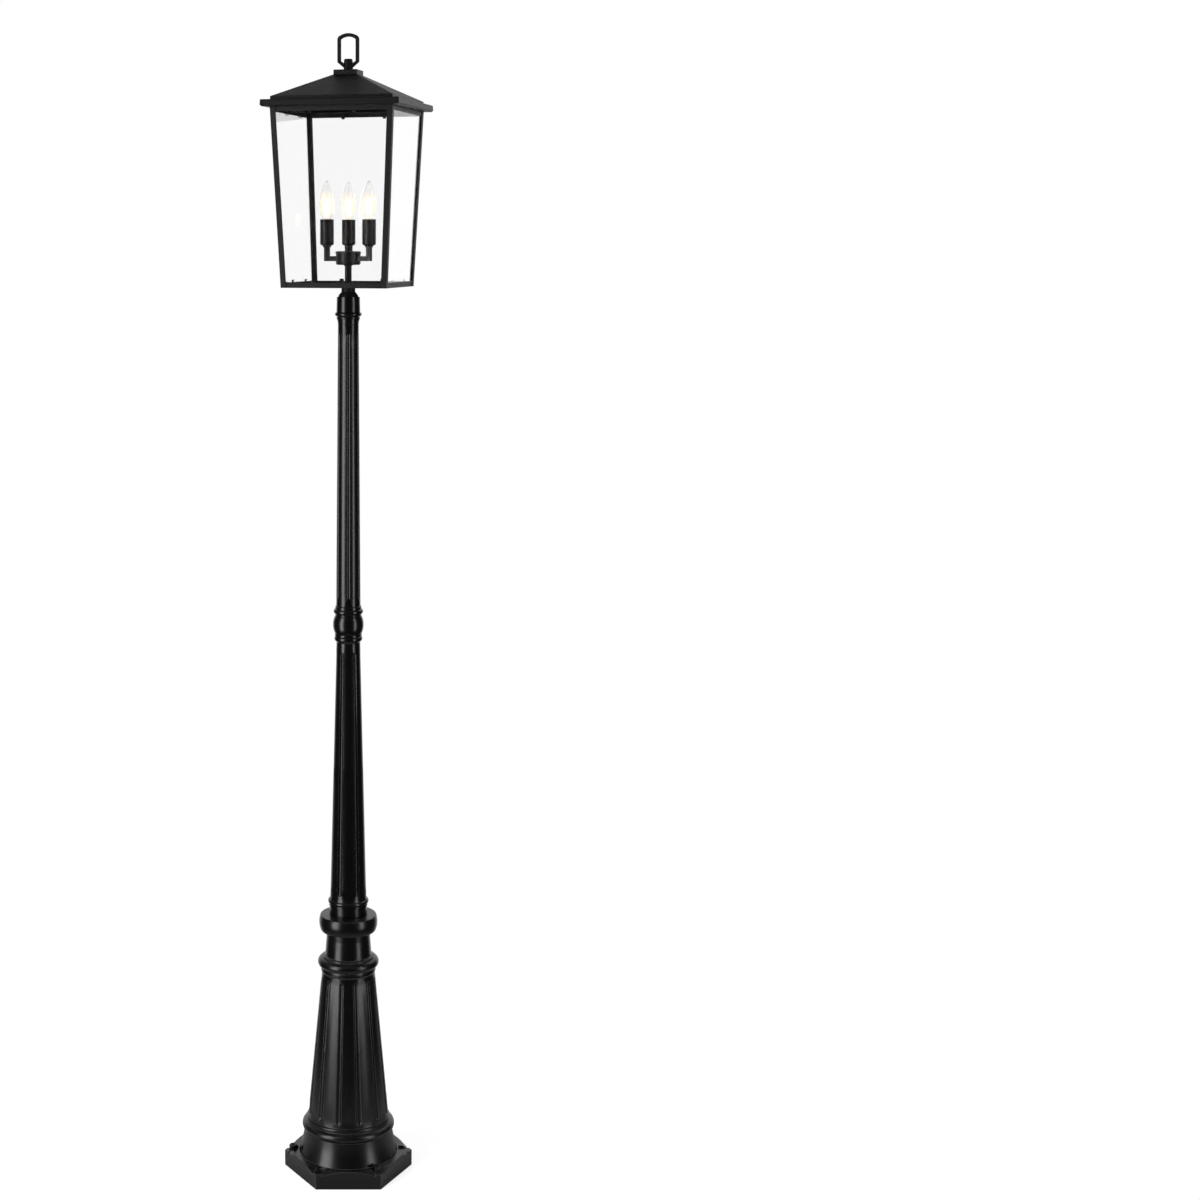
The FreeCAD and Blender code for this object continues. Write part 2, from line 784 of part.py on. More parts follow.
def make_lower_shaft():
    """Tapered fluted shaft on a foot with a ring and a bead, its spigot in the base's top plate."""
    ring = S.lower_foot_height
    bead_low = ring + S.lower_ring_height
    bead_high = bead_low + S.lower_bead_height
    taper_low = bead_high + S.lower_taper_lead
    top = S.lower_shaft_length
    socket = S.spigot_length + S.lower_taper_lead
    bore = S.lower_spigot_radius - S.lower_wall
    body = turned_piece("lower_shaft", [
        (bore, -S.lower_spigot_length),
        (S.lower_spigot_radius, -S.lower_spigot_length),
        (S.lower_spigot_radius, ZERO),
        (S.lower_foot_radius, ZERO),
        (S.lower_foot_radius, ring),
        (S.lower_ring_radius, ring),
        (S.lower_ring_radius, bead_low),
        *bead(S.lower_bead_radius, bead_low, S.lower_bead_height, S.lower_bead_depth),
        (S.lower_radius_low, taper_low),
        (S.lower_radius_high, top),
        (S.socket_bore_radius, top),
        (S.socket_bore_radius, top - socket),
        (S.lower_radius_high - S.lower_wall, top - socket * 2),
        (S.lower_radius_low - S.lower_wall, taper_low),
        (bore, ring),
    ], z=BASE_TOP)
    taper = (S.lower_radius_high - S.lower_radius_low) / (top - taper_low)
    start, end = bead_high + S.lower_flute_gap_low, top - S.lower_flute_gap_high
    cut_flutes(body, "LowerFlute", S.shaft_flutes, 0,
               (S.lower_radius_low + taper * (start - taper_low), start),
               (S.lower_radius_low + taper * (end - taper_low), end),
               (S.lower_flute_width_low, S.lower_flute_width_high), S.lower_flute_depth)
    turn(body, S.post_turn)


def make_knuckle():
    """Ball between two beads, with a spigot into each shaft."""
    bead_low = S.knuckle_foot_height
    ring = bead_low + S.knuckle_bead_height
    ball = ring + S.knuckle_ring_height
    waist = ball + S.ball_height
    crown = waist + S.knuckle_waist_height
    top = crown + S.crown_height
    turned_piece("knuckle", [
        (S.cable_bore_radius, -S.spigot_length),
        (SPIGOT_RADIUS, -S.spigot_length),
        (SPIGOT_RADIUS, ZERO),
        (S.knuckle_foot_radius, ZERO),
        *bead(S.knuckle_bead_radius, bead_low, S.knuckle_bead_height, S.knuckle_bead_depth),
        (S.knuckle_ring_radius, ring),
        (S.knuckle_ring_radius, ball),
        (S.ball_end_radius, ball),
        (S.ball_radius, ball + S.ball_height / 2, ARC),
        (S.ball_end_radius, waist),
        *bead(S.crown_radius, crown, S.crown_height, S.knuckle_bead_depth),
        (S.knuckle_top_radius, top),
        (S.knuckle_top_radius, top + S.knuckle_top_height * 0.8),
        (S.upper_radius_low, KNUCKLE_HEIGHT),
        (SPIGOT_RADIUS, KNUCKLE_HEIGHT),
        (SPIGOT_RADIUS, KNUCKLE_HEIGHT + S.spigot_length),
        (S.cable_bore_radius, KNUCKLE_HEIGHT + S.spigot_length),
    ], z=KNUCKLE_SEAT)


def make_upper_shaft():
    """Slim tapered fluted shaft."""
    top = S.upper_shaft_length
    body = turned_piece("upper_shaft", [
        (S.socket_bore_radius, ZERO),
        (S.upper_radius_low, ZERO),
        (S.upper_radius_high, top),
        (S.socket_bore_radius, top),
    ], z=UPPER_SEAT)
    taper = (S.upper_radius_high - S.upper_radius_low) / top
    start, end = S.upper_flute_gap_low, top - S.upper_flute_gap_high
    cut_flutes(body, "UpperFlute", S.shaft_flutes, 0,
               (S.upper_radius_low + taper * start, start), (S.upper_radius_low + taper * end, end),
               (S.upper_flute_width, S.upper_flute_width), S.upper_flute_depth)
    turn(body, S.post_turn + 30)


def make_capital():
    """Flare and ring on top of the upper shaft."""
    flare_top = S.flare_height - S.flare_lip
    ring = S.flare_height + S.flare_lip
    ring_top = ring + S.capital_ring_height
    turned_piece("post_capital", [
        (S.cable_bore_radius, -S.spigot_length),
        (SPIGOT_RADIUS, -S.spigot_length),
        (SPIGOT_RADIUS, ZERO),
        (S.upper_radius_high, ZERO),
        ((S.upper_radius_high + S.flare_radius) / 2 - S.flare_hollow, flare_top / 2, ARC),
        (S.flare_radius, flare_top),
        (S.flare_radius, S.flare_height),
        (S.flare_radius - S.flare_hollow, (S.flare_height + ring) / 2),
        *bead(S.capital_ring_radius, ring, S.capital_ring_height, S.capital_ring_depth),
        (S.capital_spigot_radius, ring_top),
        (S.capital_spigot_radius, ring_top + S.capital_spigot_height),
        (S.cable_bore_radius, ring_top + S.capital_spigot_height),
    ], z=CAPITAL_SEAT)


def make_fitter_collar():
    """Straight collar whose top plate carries the lantern."""
    bore = S.capital_spigot_radius + S.spigot_clearance
    hole = S.nipple_radius + S.turning_clearance
    under = S.fitter_height - S.fitter_plate
    turned_piece("fitter_collar", [
        (bore, ZERO),
        (S.fitter_foot_radius, ZERO),
        (S.fitter_top_radius, S.fitter_height),
        (hole, S.fitter_height),
        (hole, under),
        (bore, under),
    ], z=FITTER_SEAT)


# ---------------------------------------------------------------- lantern neck

def make_neck():
    """Concave cup, and the nipple and nut that clamp cluster, tray and cup to the collar's plate."""
    sweep_top = S.cup_rim_height + S.cup_sweep_height
    rim_top = S.cup_rim_radius - S.cup_rim_draft
    turned_piece("neck_cup", [
        (S.cup_rim_radius - S.cup_wall, ZERO),
        (S.cup_rim_radius, ZERO),
        (rim_top, S.cup_rim_height),
        ((rim_top + S.cup_neck_radius) / 2 - 0.3, S.cup_rim_height + S.cup_sweep_height / 2, ARC),
        (S.cup_neck_radius, sweep_top),
        (S.cup_neck_radius, S.cup_height),
        (NIPPLE_HOLE, S.cup_height),
        (NIPPLE_HOLE, S.cup_height - S.cup_wall),
        (S.cup_neck_radius - S.cup_wall, S.cup_height - S.cup_wall),
        (S.cup_neck_radius - S.cup_wall, sweep_top),
    ], z=FITTER_TOP)
    nut_seat = FITTER_TOP - S.fitter_plate - S.nipple_nut_height
    low = nut_seat - S.nipple_end
    top = HUB + S.hub_wall + S.locknut_height + 1
    turned_piece("nipple", [
        (S.nipple_bore_radius, ZERO),
        (S.nipple_radius, ZERO),
        (S.nipple_radius, top - low),
        (S.nipple_bore_radius, top - low),
    ], z=low)
    nut_piece("nipple_nut", S.nipple_nut_width, S.nipple_nut_height, NIPPLE_HOLE, nut_seat)


# ---------------------------------------------------------------- lantern frame

def half_width(height):
    """Half the lantern's width outside the corner posts, at a height above its bottom."""
    return S.lantern_half_low + (S.lantern_half_high - S.lantern_half_low) * height / S.lantern_height


def make_tray():
    """Shallow pan inside the corner posts: its low walls are the bottom rails."""
    over = S.tray_height + S.sheet
    pan = wedge("TrayBlank", square_sizes(
        ZERO, S.tray_height, half_width(ZERO) - S.sheet, half_width(S.tray_height) - S.sheet))
    hollow = wedge("TrayHollow", square_sizes(
        S.sheet, over, half_width(S.sheet) - S.sheet * 2, half_width(over) - S.sheet * 2))
    tray = subtract("TrayDrilled", subtract("TrayShell", pan, hollow),
                    cylinder("TrayHole", NIPPLE_HOLE, S.sheet))
    place(tray, z=LANTERN)
    keep(tray, "tray")


def make_corner_posts():
    """L-angles that lean outwards on both sides."""
    low, high = half_width(ZERO), half_width(S.lantern_height)
    for index in range(LANTERN_SIDES):
        label = f"corner_post_{index + 1}"
        bar_low, bar_high = (low - S.post_flange, low), (high - S.post_flange, high)
        gap_low, gap_high = [(half - S.post_flange * 2, half - S.sheet) for half in (low, high)]
        bar = wedge(label + "_bar", wedge_sizes(ZERO, S.lantern_height, bar_low, bar_high, bar_low, bar_high))
        gap = wedge(label + "_gap", wedge_sizes(ZERO, S.lantern_height, gap_low, gap_high, gap_low, gap_high))
        post = subtract(label + "_angle", bar, gap)
        place(post, z=LANTERN, rotation=Rotation(Z_AXIS, index * 90))
        keep(post, label)


def make_top_frame():
    """Top band between the posts, and the eave soffit with the opening into the roof."""
    low, high = S.lantern_height - S.band_height, S.lantern_height
    outer = wedge("BandBlank", square_sizes(low, high, half_width(low) - S.sheet, half_width(high) - S.sheet))
    inner = wedge("BandHollow", square_sizes(
        low, high, half_width(low) - S.sheet * 2, half_width(high) - S.sheet * 2))
    plate = wedge("SoffitPlate", square_sizes(
        high, high + S.soffit_thickness, S.soffit_half_low, S.eave_half - S.sheet))
    lip = half_width(high) - S.sheet * 2 - S.frame_lip
    opening = wedge("RoofOpening", square_sizes(high, high + S.soffit_thickness, lip, lip))
    frame = doc.addObject("Part::MultiFuse", "FrameBlank")
    frame.Shapes = [subtract("Band", outer, inner), subtract("Soffit", plate, opening)]
    for side, sign in (("Right", 1), ("Left", -1)):
        hole = cylinder("ScrewHole" + side, SCREW_HOLE, S.soffit_thickness, S.roof_screw_offset * sign, high)
        frame = subtract("Frame" + side, frame, hole)
    place(frame, z=LANTERN)
    keep(frame, "top_frame")


def pane_outside(height):
    """Distance from the axis to a pane's outer face."""
    return half_width(height) - S.sheet * 2


def pane_inside(height):
    return pane_outside(height) - S.glass_thickness


def make_panes():
    """Four leaning panes that stand on the tray and end under the soffit."""
    low, high = S.sheet, S.lantern_height - S.glass_play

    def across(height):
        half = pane_inside(height) - S.glass_play
        return (-half, half)

    sizes = wedge_sizes(low, high, across(low), across(high),
                        (pane_inside(low), pane_outside(low)), (pane_inside(high), pane_outside(high)))
    for side, angle in PANE_TURNS.items():
        pane = wedge("Pane_" + side, sizes, Rotation(Z_AXIS, angle) * UPWARDS, LANTERN)
        keep(pane, "glass_" + side)


def make_bottom_clips():
    """Bent tabs that stand on the tray behind the panes, two a side."""
    body = new_body("bottom_clips")
    face_low = pane_inside(S.sheet) - S.clip_gap
    face_high = pane_inside(S.clip_height) - S.clip_gap
    lip_low = S.clip_height - S.clip_sheet
    half = S.clip_width / 2
    features = []
    for name, sign in (("Right", 1), ("Left", -1)):
        ends = (S.clip_offset * sign - half, S.clip_offset * sign + half)
        tab = wedge_sizes(S.sheet, S.clip_height, ends, ends,
                          (face_low - S.clip_sheet, face_low), (face_high - S.clip_sheet, face_high))
        bend = (face_high - S.clip_reach, face_high - S.clip_sheet / 2)
        lip = wedge_sizes(lip_low, S.clip_height, ends, ends, bend, bend)
        features.append(primitive(body, "AdditiveWedge", "ClipTab" + name, rotation=UPWARDS, **tab))
        features.append(primitive(body, "AdditiveWedge", "ClipLip" + name, rotation=UPWARDS, **lip))
    repeat(body, features, as_size(LANTERN_SIDES))
    place(body, z=LANTERN)
    keep(body, "bottom_clips")


def make_top_clips():
    """J hooks that hang from the soffit behind the panes, two a side."""
    body = new_body("top_clips")
    face = -(pane_inside(S.lantern_height - S.hook_drop) - S.clip_gap * 2)
    top, bend = S.lantern_height, S.lantern_height - S.hook_drop
    middle = face + S.hook_radius
    inner = S.hook_radius - S.clip_sheet
    features = []
    for name, sign in (("Right", 1), ("Left", -1)):
        sketch = new_sketch(body, "Hook" + name, role="YZ_Plane")
        draw_outline(sketch, [
            (face, top),
            (face, bend),
            (middle, bend - S.hook_radius, ARC),
            (middle + S.hook_radius, bend),
            (middle + inner, bend),
            (middle, bend - inner, ARC),
            (middle - inner, bend),
            (middle - inner, top),
        ])
        sketch.setExpression("AttachmentOffset.Base.z", (S.clip_offset * sign).formula)
        strip = body.newObject("PartDesign::Pad", "HookStrip" + name)
        strip.Profile = sketch
        strip.Midplane = True
        bind(strip, Length=S.hook_width)
        features.append(strip)
    repeat(body, features, as_size(LANTERN_SIDES))
    place(body, z=LANTERN)
    keep(body, "top_clips")


def make_roof_screws():
    """Pan-head screws up through the soffit into the roof's tabs."""
    body = new_body("roof_screws")
    sketch = new_sketch(body, "ScrewOutline")
    axis = S.roof_screw_offset
    tip = S.soffit_thickness + S.roof_tab_thickness + 1
    draw_axis(sketch, (axis, -S.roof_screw_head), (axis, tip))
    draw_outline(sketch, [
        (axis, -S.roof_screw_head),
        (axis + S.roof_screw_head_radius * 0.8, -S.roof_screw_head),
        (axis + S.roof_screw_head_radius, S.roof_screw_head * -0.6),
        (axis + S.roof_screw_head_radius, ZERO),
        (axis + S.roof_screw_radius, ZERO),
        (axis + S.roof_screw_radius, tip),
        (axis, tip),
    ])
    repeat(body, [revolve(body, sketch, axis="Axis0")], as_size(2))
    place(body, z=SOFFIT)
    keep(body, "roof_screws")


# ---------------------------------------------------------------- roof

def make_roof_shell():
    """Eave, step and four-sided roof, hollow below."""
    body = new_body("roof_shell")
    eave_top = S.eave_height
    step_top = eave_top + S.step_height
    roof_top = step_top + S.roof_rise
    eave_inside = S.eave_half - S.eave_draft - S.sheet
    step_inside = S.step_half - S.sheet
    slope_foot = S.step_half - S.step_round - 0.2
    eave = primitive(body, "AdditiveWedge", "Eave", rotation=UPWARDS,
                     **square_sizes(ZERO, eave_top, S.eave_half, S.eave_half - S.eave_draft))
    round_above(body, "EaveRound", eave, ZERO, S.eave_round)
    step = primitive(body, "AdditiveWedge", "Step", rotation=UPWARDS,
                     **square_sizes(eave_top - S.sheet, step_top, S.step_half, S.step_half))
    round_above(body, "StepRound", step, eave_top, S.step_round)
    primitive(body, "AdditiveWedge", "Slopes", rotation=UPWARDS,
              **square_sizes(step_top, roof_top, slope_foot, S.cap_half))
    primitive(body, "SubtractiveWedge", "EaveHollow", rotation=UPWARDS,
              **square_sizes(ZERO, eave_top - S.sheet, eave_inside, eave_inside))
    primitive(body, "SubtractiveWedge", "StepHollow", rotation=UPWARDS,
              **square_sizes(eave_top - S.sheet, step_top - S.roof_plate, step_inside, step_inside))
    primitive(body, "SubtractiveWedge", "SlopesHollow", rotation=UPWARDS,
              **square_sizes(step_top - S.roof_plate, roof_top - S.roof_plate, slope_foot - 0.2, S.cap_half))
    primitive(body, "SubtractiveCylinder", "StudHole", z=roof_top - S.roof_plate * 2,
              Radius=STUD_HOLE, Height=S.roof_plate * 3)
    place(body, z=EAVE)
    keep(body, "roof_shell")


def make_roof_tabs():
    """Tabs inside the eave that the roof screws reach, one left and one right."""
    body = new_body("roof_tabs")
    outer = S.eave_half - S.eave_draft - S.sheet
    plate = block(body, "AdditiveBox", "TabPlate", S.roof_tab_length, S.roof_tab_width, S.roof_tab_thickness,
                  x=outer - S.roof_tab_length / 2)
    hole = primitive(body, "SubtractiveCylinder", "TabHole", x=S.roof_screw_offset,
                     Radius=SCREW_HOLE, Height=S.roof_tab_thickness)
    repeat(body, [plate, hole], as_size(2))
    place(body, z=EAVE)
    keep(body, "roof_tabs")


def make_cap_plate():
    """Square cap on the roof's flat top."""
    body = new_body("cap_plate")
    plate = primitive(body, "AdditiveWedge", "Cap", rotation=UPWARDS,
                      **square_sizes(ZERO, S.cap_height, S.cap_half, S.cap_half))
    round_above(body, "CapRound", plate, ZERO, S.cap_round)
    primitive(body, "SubtractiveCylinder", "CapHole", Radius=STUD_HOLE, Height=S.cap_height)
    place(body, z=CAP_SEAT)
    keep(body, "cap_plate")


def make_finial_boss():
    """Tapered boss with the stud that clamps cap and roof together."""
    stud = S.cap_height + S.roof_plate + S.stud_nut_height + 1
    shoulder = S.boss_height - S.boss_round
    turned_piece("finial_boss", [
        (ZERO, -stud),
        (S.stud_radius, -stud),
        (S.stud_radius, ZERO),
        (S.boss_foot_radius, ZERO),
        (S.boss_top_radius, shoulder),
        (S.boss_top_radius - S.boss_round * (1 - cosine(45)), shoulder + S.boss_round * sine(45), ARC),
        (S.boss_top_radius - S.boss_round, S.boss_height),
        (ZERO, S.boss_height),
    ], z=CAP_TOP)
    nut_piece("finial_nut", S.stud_nut_width, S.stud_nut_height, STUD_HOLE,
              CAP_SEAT - S.roof_plate - S.stud_nut_height)


def make_finial_loop():
    """Square-shouldered loop, bevelled all round, that springs from both sides of the boss."""
    body = new_body("finial_loop")
    half, inner = S.loop_half_width, S.loop_half_width - S.loop_bar
    shoulder = half - S.loop_shoulder_width
    shoulder_top = S.loop_side_high + S.loop_shoulder_height
    bulge = (half - S.loop_shoulder_width * 0.25, S.loop_side_high + S.loop_shoulder_height * 0.55)
    inner_low = S.loop_side_low + S.loop_bevel
    sketch = new_sketch(body, "LoopOutline")
    draw_outline(sketch, [
        (S.loop_root_half, S.loop_root_low),
        (half, S.loop_side_low),
        (half, S.loop_side_high),
        (*bulge, ARC),
        (shoulder, shoulder_top),
        (ZERO, S.loop_height, ARC),
        (-shoulder, shoulder_top),
        (-bulge[0], bulge[1], ARC),
        (-half, S.loop_side_high),
        (-half, S.loop_side_low),
        (-S.loop_root_half, S.loop_root_low),
        (-S.loop_root_half, S.loop_root_high),
        (-inner, inner_low),
        (-inner, S.loop_side_high),
        (ZERO, S.loop_height - S.loop_crown, ARC),
        (inner, S.loop_side_high),
        (inner, inner_low),
        (S.loop_root_half, S.loop_root_high),
    ])
    bar = body.newObject("PartDesign::Pad", "LoopBar")
    bar.Profile = sketch
    bar.Midplane = True
    bind(bar, Length=S.loop_depth)
    root = S.loop_root_half.number + 0.1

    def along_a_face(ends):
        on_one_face = abs(ends[0].y - ends[-1].y) < 0.1
        return on_one_face and max(abs(end.x) for end in ends) > root

    finish_edges(body, "Chamfer", "LoopBevel", bar, along_a_face, Size=S.loop_bevel)
    primitive(body, "SubtractiveCone", "BossSeat", Radius1=S.boss_foot_radius,
              Radius2=S.boss_foot_radius - (S.boss_foot_radius - S.boss_top_radius)
              * S.boss_height / (S.boss_height - S.boss_round),
              Height=S.boss_height)
    place(body, z=CAP_TOP)
    keep(body, "finial_loop")


# ---------------------------------------------------------------- light cluster

def make_stem():
    """Tube from the tray to the hub, and the flange under the hub."""
    turned_piece("stem_tube", [
        (NIPPLE_HOLE, S.sheet),
        (S.stem_radius, S.sheet),
        (S.stem_radius, S.stem_top_height),
        (NIPPLE_HOLE, S.stem_top_height),
    ], z=LANTERN)
    turned_piece("stem_flange", [
        (NIPPLE_HOLE, ZERO),
        (S.stem_flange_radius, ZERO),
        (S.stem_flange_radius, S.stem_flange_thickness),
        (NIPPLE_HOLE, S.stem_flange_thickness),
    ], z=LANTERN + S.stem_top_height)


def make_hub():
    """Round junction cup with a hole for each arm, its lid, and the locknut inside it."""
    round_in = S.hub_round * (1 - cosine(45))
    body = turned_piece("hub_body", [
        (NIPPLE_HOLE, ZERO),
        (S.hub_radius - S.hub_round, ZERO),
        (S.hub_radius - round_in, round_in, ARC),
        (S.hub_radius, S.hub_round),
        (S.hub_radius, S.hub_height),
        (S.hub_radius - S.hub_wall, S.hub_height),
        (S.hub_radius - S.hub_wall, S.hub_round),
        (S.hub_radius - S.hub_round, S.hub_wall),
        (NIPPLE_HOLE, S.hub_wall),
    ], z=HUB)
    slot = block(body, "SubtractiveBox", "ArmSlot", S.hub_radius, S.arm_width, S.arm_height,
                 x=S.hub_radius, z=S.arm_rise)
    repeat(body, [slot], as_size(len(ARM_TURNS)))
    place(body, z=HUB, rotation=Rotation(Z_AXIS, ARM_TURNS["rear"]))
    turned_piece("hub_lid", [
        (ZERO, ZERO),
        (S.hub_lid_radius, ZERO),
        (S.hub_lid_radius, S.hub_lid_thickness * 0.6),
        (S.hub_lid_radius - S.hub_lid_step, S.hub_lid_thickness * 0.7),
        (S.hub_lid_radius - S.hub_lid_step * 2, S.hub_lid_thickness),
        (ZERO, S.hub_lid_thickness),
    ], z=HUB + S.hub_height)
    nut_piece("hub_locknut", S.locknut_width, S.locknut_height, NIPPLE_HOLE, HUB + S.hub_wall)


def make_arm(name, angle):
    """Square wire arm, out from the hub and up to the socket. The rear one has a round upright."""
    body = new_body("arm_" + name)
    inner = S.hub_radius - S.hub_wall - S.arm_entry
    reach = S.cluster_radius + S.arm_width / 2 - inner
    leg_top = S.arm_rise + S.arm_height
    centre = S.arm_rise + S.arm_height / 2
    block(body, "AdditiveBox", "Leg_" + name, reach, S.arm_width, S.arm_height,
          x=inner + reach / 2, z=S.arm_rise)
    if name == "rear":
        primitive(body, "AdditiveCylinder", "Upright_" + name, x=S.cluster_radius, z=leg_top,
                  Radius=S.rear_upright_radius, Height=S.arm_top_rise - leg_top)
    else:
        block(body, "AdditiveBox", "Upright_" + name, S.arm_width, S.arm_width, S.arm_top_rise - S.arm_rise,
              x=S.cluster_radius, z=S.arm_rise)
    primitive(body, "SubtractiveCylinder", "WireWay_" + name, x=inner, z=centre, rotation=Rotation(Y_AXIS, 90),
              Radius=S.arm_bore_radius, Height=S.cluster_radius - inner)
    primitive(body, "SubtractiveCylinder", "WireRise_" + name, x=S.cluster_radius, z=centre,
              Radius=S.arm_bore_radius, Height=S.arm_top_rise - centre)
    place(body, z=HUB, rotation=Rotation(Z_AXIS, angle))
    keep(body, "arm_" + name)


def make_washers():
    """One round seat on each arm, below its sleeve."""
    body = new_body("socket_washers")
    disc = primitive(body, "AdditiveCylinder", "SeatDisc", x=S.cluster_radius,
                     Radius=S.washer_radius, Height=S.washer_thickness)
    bore = primitive(body, "SubtractiveCylinder", "SeatBore", x=S.cluster_radius,
                     Radius=S.arm_bore_radius, Height=S.washer_thickness)
    repeat(body, [disc, bore], as_size(len(ARM_TURNS)))
    place(body, z=ARM_TOP, rotation=Rotation(Z_AXIS, ARM_TURNS["rear"]))
    keep(body, "socket_washers")


def make_sleeve(name, x, y):
    """Candle sleeve: a thin cup, rounded below and open above."""
    inside = S.sleeve_radius - S.sleeve_wall
    shallow = 1 - cosine(45)
    inner_round = S.sleeve_round - S.sleeve_wall
    turned_piece("sleeve_" + name, [
        (S.arm_bore_radius, ZERO),
        (S.sleeve_radius - S.sleeve_round, ZERO),
        (S.sleeve_radius - S.sleeve_round * shallow, S.sleeve_round * shallow, ARC),
        (S.sleeve_radius, S.sleeve_round),
        (S.sleeve_radius, S.sleeve_height),
        (inside, S.sleeve_height),
        (inside, S.sleeve_round),
        (inside - inner_round * shallow, S.sleeve_round - inner_round * cosine(45), ARC),
        (S.sleeve_radius - S.sleeve_round, S.sleeve_wall),
        (S.arm_bore_radius, S.sleeve_wall),
    ], x, y, SLEEVE_FOOT)


def make_socket(name, x, y):
    """Insulating socket on the sleeve's floor, bored for the bulb's cap."""
    body_radius = S.sleeve_radius - S.sleeve_wall - S.socket_clearance
    foot_radius = S.sleeve_radius - S.sleeve_round - S.socket_clearance
    top = S.sleeve_height - S.sleeve_wall - S.cap_top_depth - S.cap_collar_height
    bore = S.cap_radius + S.screw_play
    turned_piece("socket_" + name, [
        (S.arm_bore_radius, ZERO),
        (foot_radius, ZERO),
        (body_radius, body_radius - foot_radius),
        (body_radius, top),
        (bore, top),
        (bore, top - S.socket_bore_depth),
        (S.arm_bore_radius, top - S.socket_bore_depth),
    ], x, y, SLEEVE_FOOT + S.sleeve_wall)


# ---------------------------------------------------------------- bulbs

def make_bulb_glass(name, x, y):
    """Thin flame-shaped envelope, open at the neck."""
    def wall(inset):
        belly, tip = S.belly_radius - inset, S.tip_radius - inset
        mouth = S.bulb_mouth_radius - inset
        return [
            (S.bulb_neck_radius - inset, -S.cap_top_depth),
            (S.bulb_neck_radius - inset, S.cap_top_depth * -0.4),
            (mouth, ZERO),
            (mouth + (belly - mouth) * 0.623, S.belly_height * 0.43, ARC),
            (belly, S.belly_height),
            (belly - (belly - tip) * 0.264, S.belly_height + (S.tip_height - S.belly_height) * 0.48, ARC),
            (tip, S.tip_height),
            (tip * 0.6, S.tip_height + (S.bulb_height - inset - S.tip_height) * 0.6, ARC),
            (S.pip_radius - inset / 2, S.bulb_height - inset),
            (ZERO, S.bulb_height - inset),
        ]

    turned_piece(f"bulb_{name}_glass", wall(ZERO) + wall(S.bulb_wall)[::-1], x, y, MOUTH)


def make_bulb_cap(name, x, y):
    """Screw cap with a collar that stops on the socket, its lower end drawn in to the contact."""
    top = S.cap_length
    seat = top - S.cap_collar_height
    inside = S.cap_radius - S.cap_wall
    turned_piece(f"bulb_{name}_cap", [
        (ZERO, ZERO),
        (S.contact_radius, ZERO),
        (S.cap_radius, S.cap_cone),
        (S.cap_radius, seat),
        (S.cap_collar_radius, seat),
        (S.cap_collar_radius, top),
        (inside, top),
        (inside, S.cap_cone),
        (S.contact_radius, S.cap_wall * 2),
        (ZERO, S.cap_wall * 2),
    ], x, y, MOUTH - S.cap_top_depth - top)
    turned_piece(f"bulb_{name}_contact", [
        (ZERO, ZERO),
        (S.contact_radius * 0.8, ZERO),
        (S.contact_radius, S.contact_thickness / 2),
        (S.contact_radius, S.contact_thickness),
        (ZERO, S.contact_thickness),
    ], x, y, MOUTH - S.cap_top_depth - top - S.contact_gap - S.contact_thickness)


def make_filament(name, x, y):
    """Glass stem with a disc at each end, and the upright filament rods."""
    foot = -S.cap_top_depth
    disc = S.filament_disc_thickness
    rods = S.filament_rod_foot
    body = turned_piece(f"bulb_{name}_filament", [
        (ZERO, foot),
        (S.filament_disc_radius, foot),
        (S.filament_disc_radius, foot + disc),
        (S.filament_stem_radius, foot + disc),
        (S.filament_stem_radius, rods),
        (S.filament_disc_radius, rods),
        (S.filament_disc_radius, rods + disc),
        (S.filament_stem_radius, rods + disc),
        (S.filament_stem_radius, S.filament_stem_height),
        (ZERO, S.filament_stem_height),
    ], x, y, MOUTH)
    rod = primitive(body, "AdditiveCylinder", "Rod_" + name, x=S.filament_rod_circle, z=rods,
                    Radius=S.filament_rod_radius, Height=S.filament_rod_length)
    repeat(body, [rod], S.filament_rods)


# ---------------------------------------------------------------- checks and files

CUTTING = ("Groove", "Subtractive")


def check_features():
    """Stop if anything failed to build, or if a cut took nothing away."""
    for thing in doc.Objects:
        if any(word in state for state in thing.State for word in ("Invalid", "Error")):
            raise RuntimeError(f"{thing.Label} did not build: {thing.State}")
        kind = thing.TypeId.split("::")[-1]
        if kind.startswith(CUTTING) and thing.BaseFeature is not None:
            if thing.Shape.Volume > thing.BaseFeature.Shape.Volume - 0.01:
                raise RuntimeError(f"{thing.Label} cut nothing")


def write_parts():
    """Check each piece's shape, then write one file for each."""
    for thing in parts:
        if thing.Shape.isNull() or not thing.Shape.isValid() or not thing.Shape.Solids:
            raise RuntimeError(f"{thing.Label} is not a sound solid")
    os.makedirs("parts", exist_ok=True)
    for thing in parts:
        thing.Shape.exportStep(f"parts/{thing.Label}.step")
        box = thing.Shape.BoundBox
        print(f"{thing.Label:24s} solids {len(thing.Shape.Solids):2d}  volume {thing.Shape.Volume:12.1f}"
              f"  z {box.ZMin:8.2f} .. {box.ZMax:8.2f}  width {box.XLength:7.2f}")
    print(len(parts), "parts")


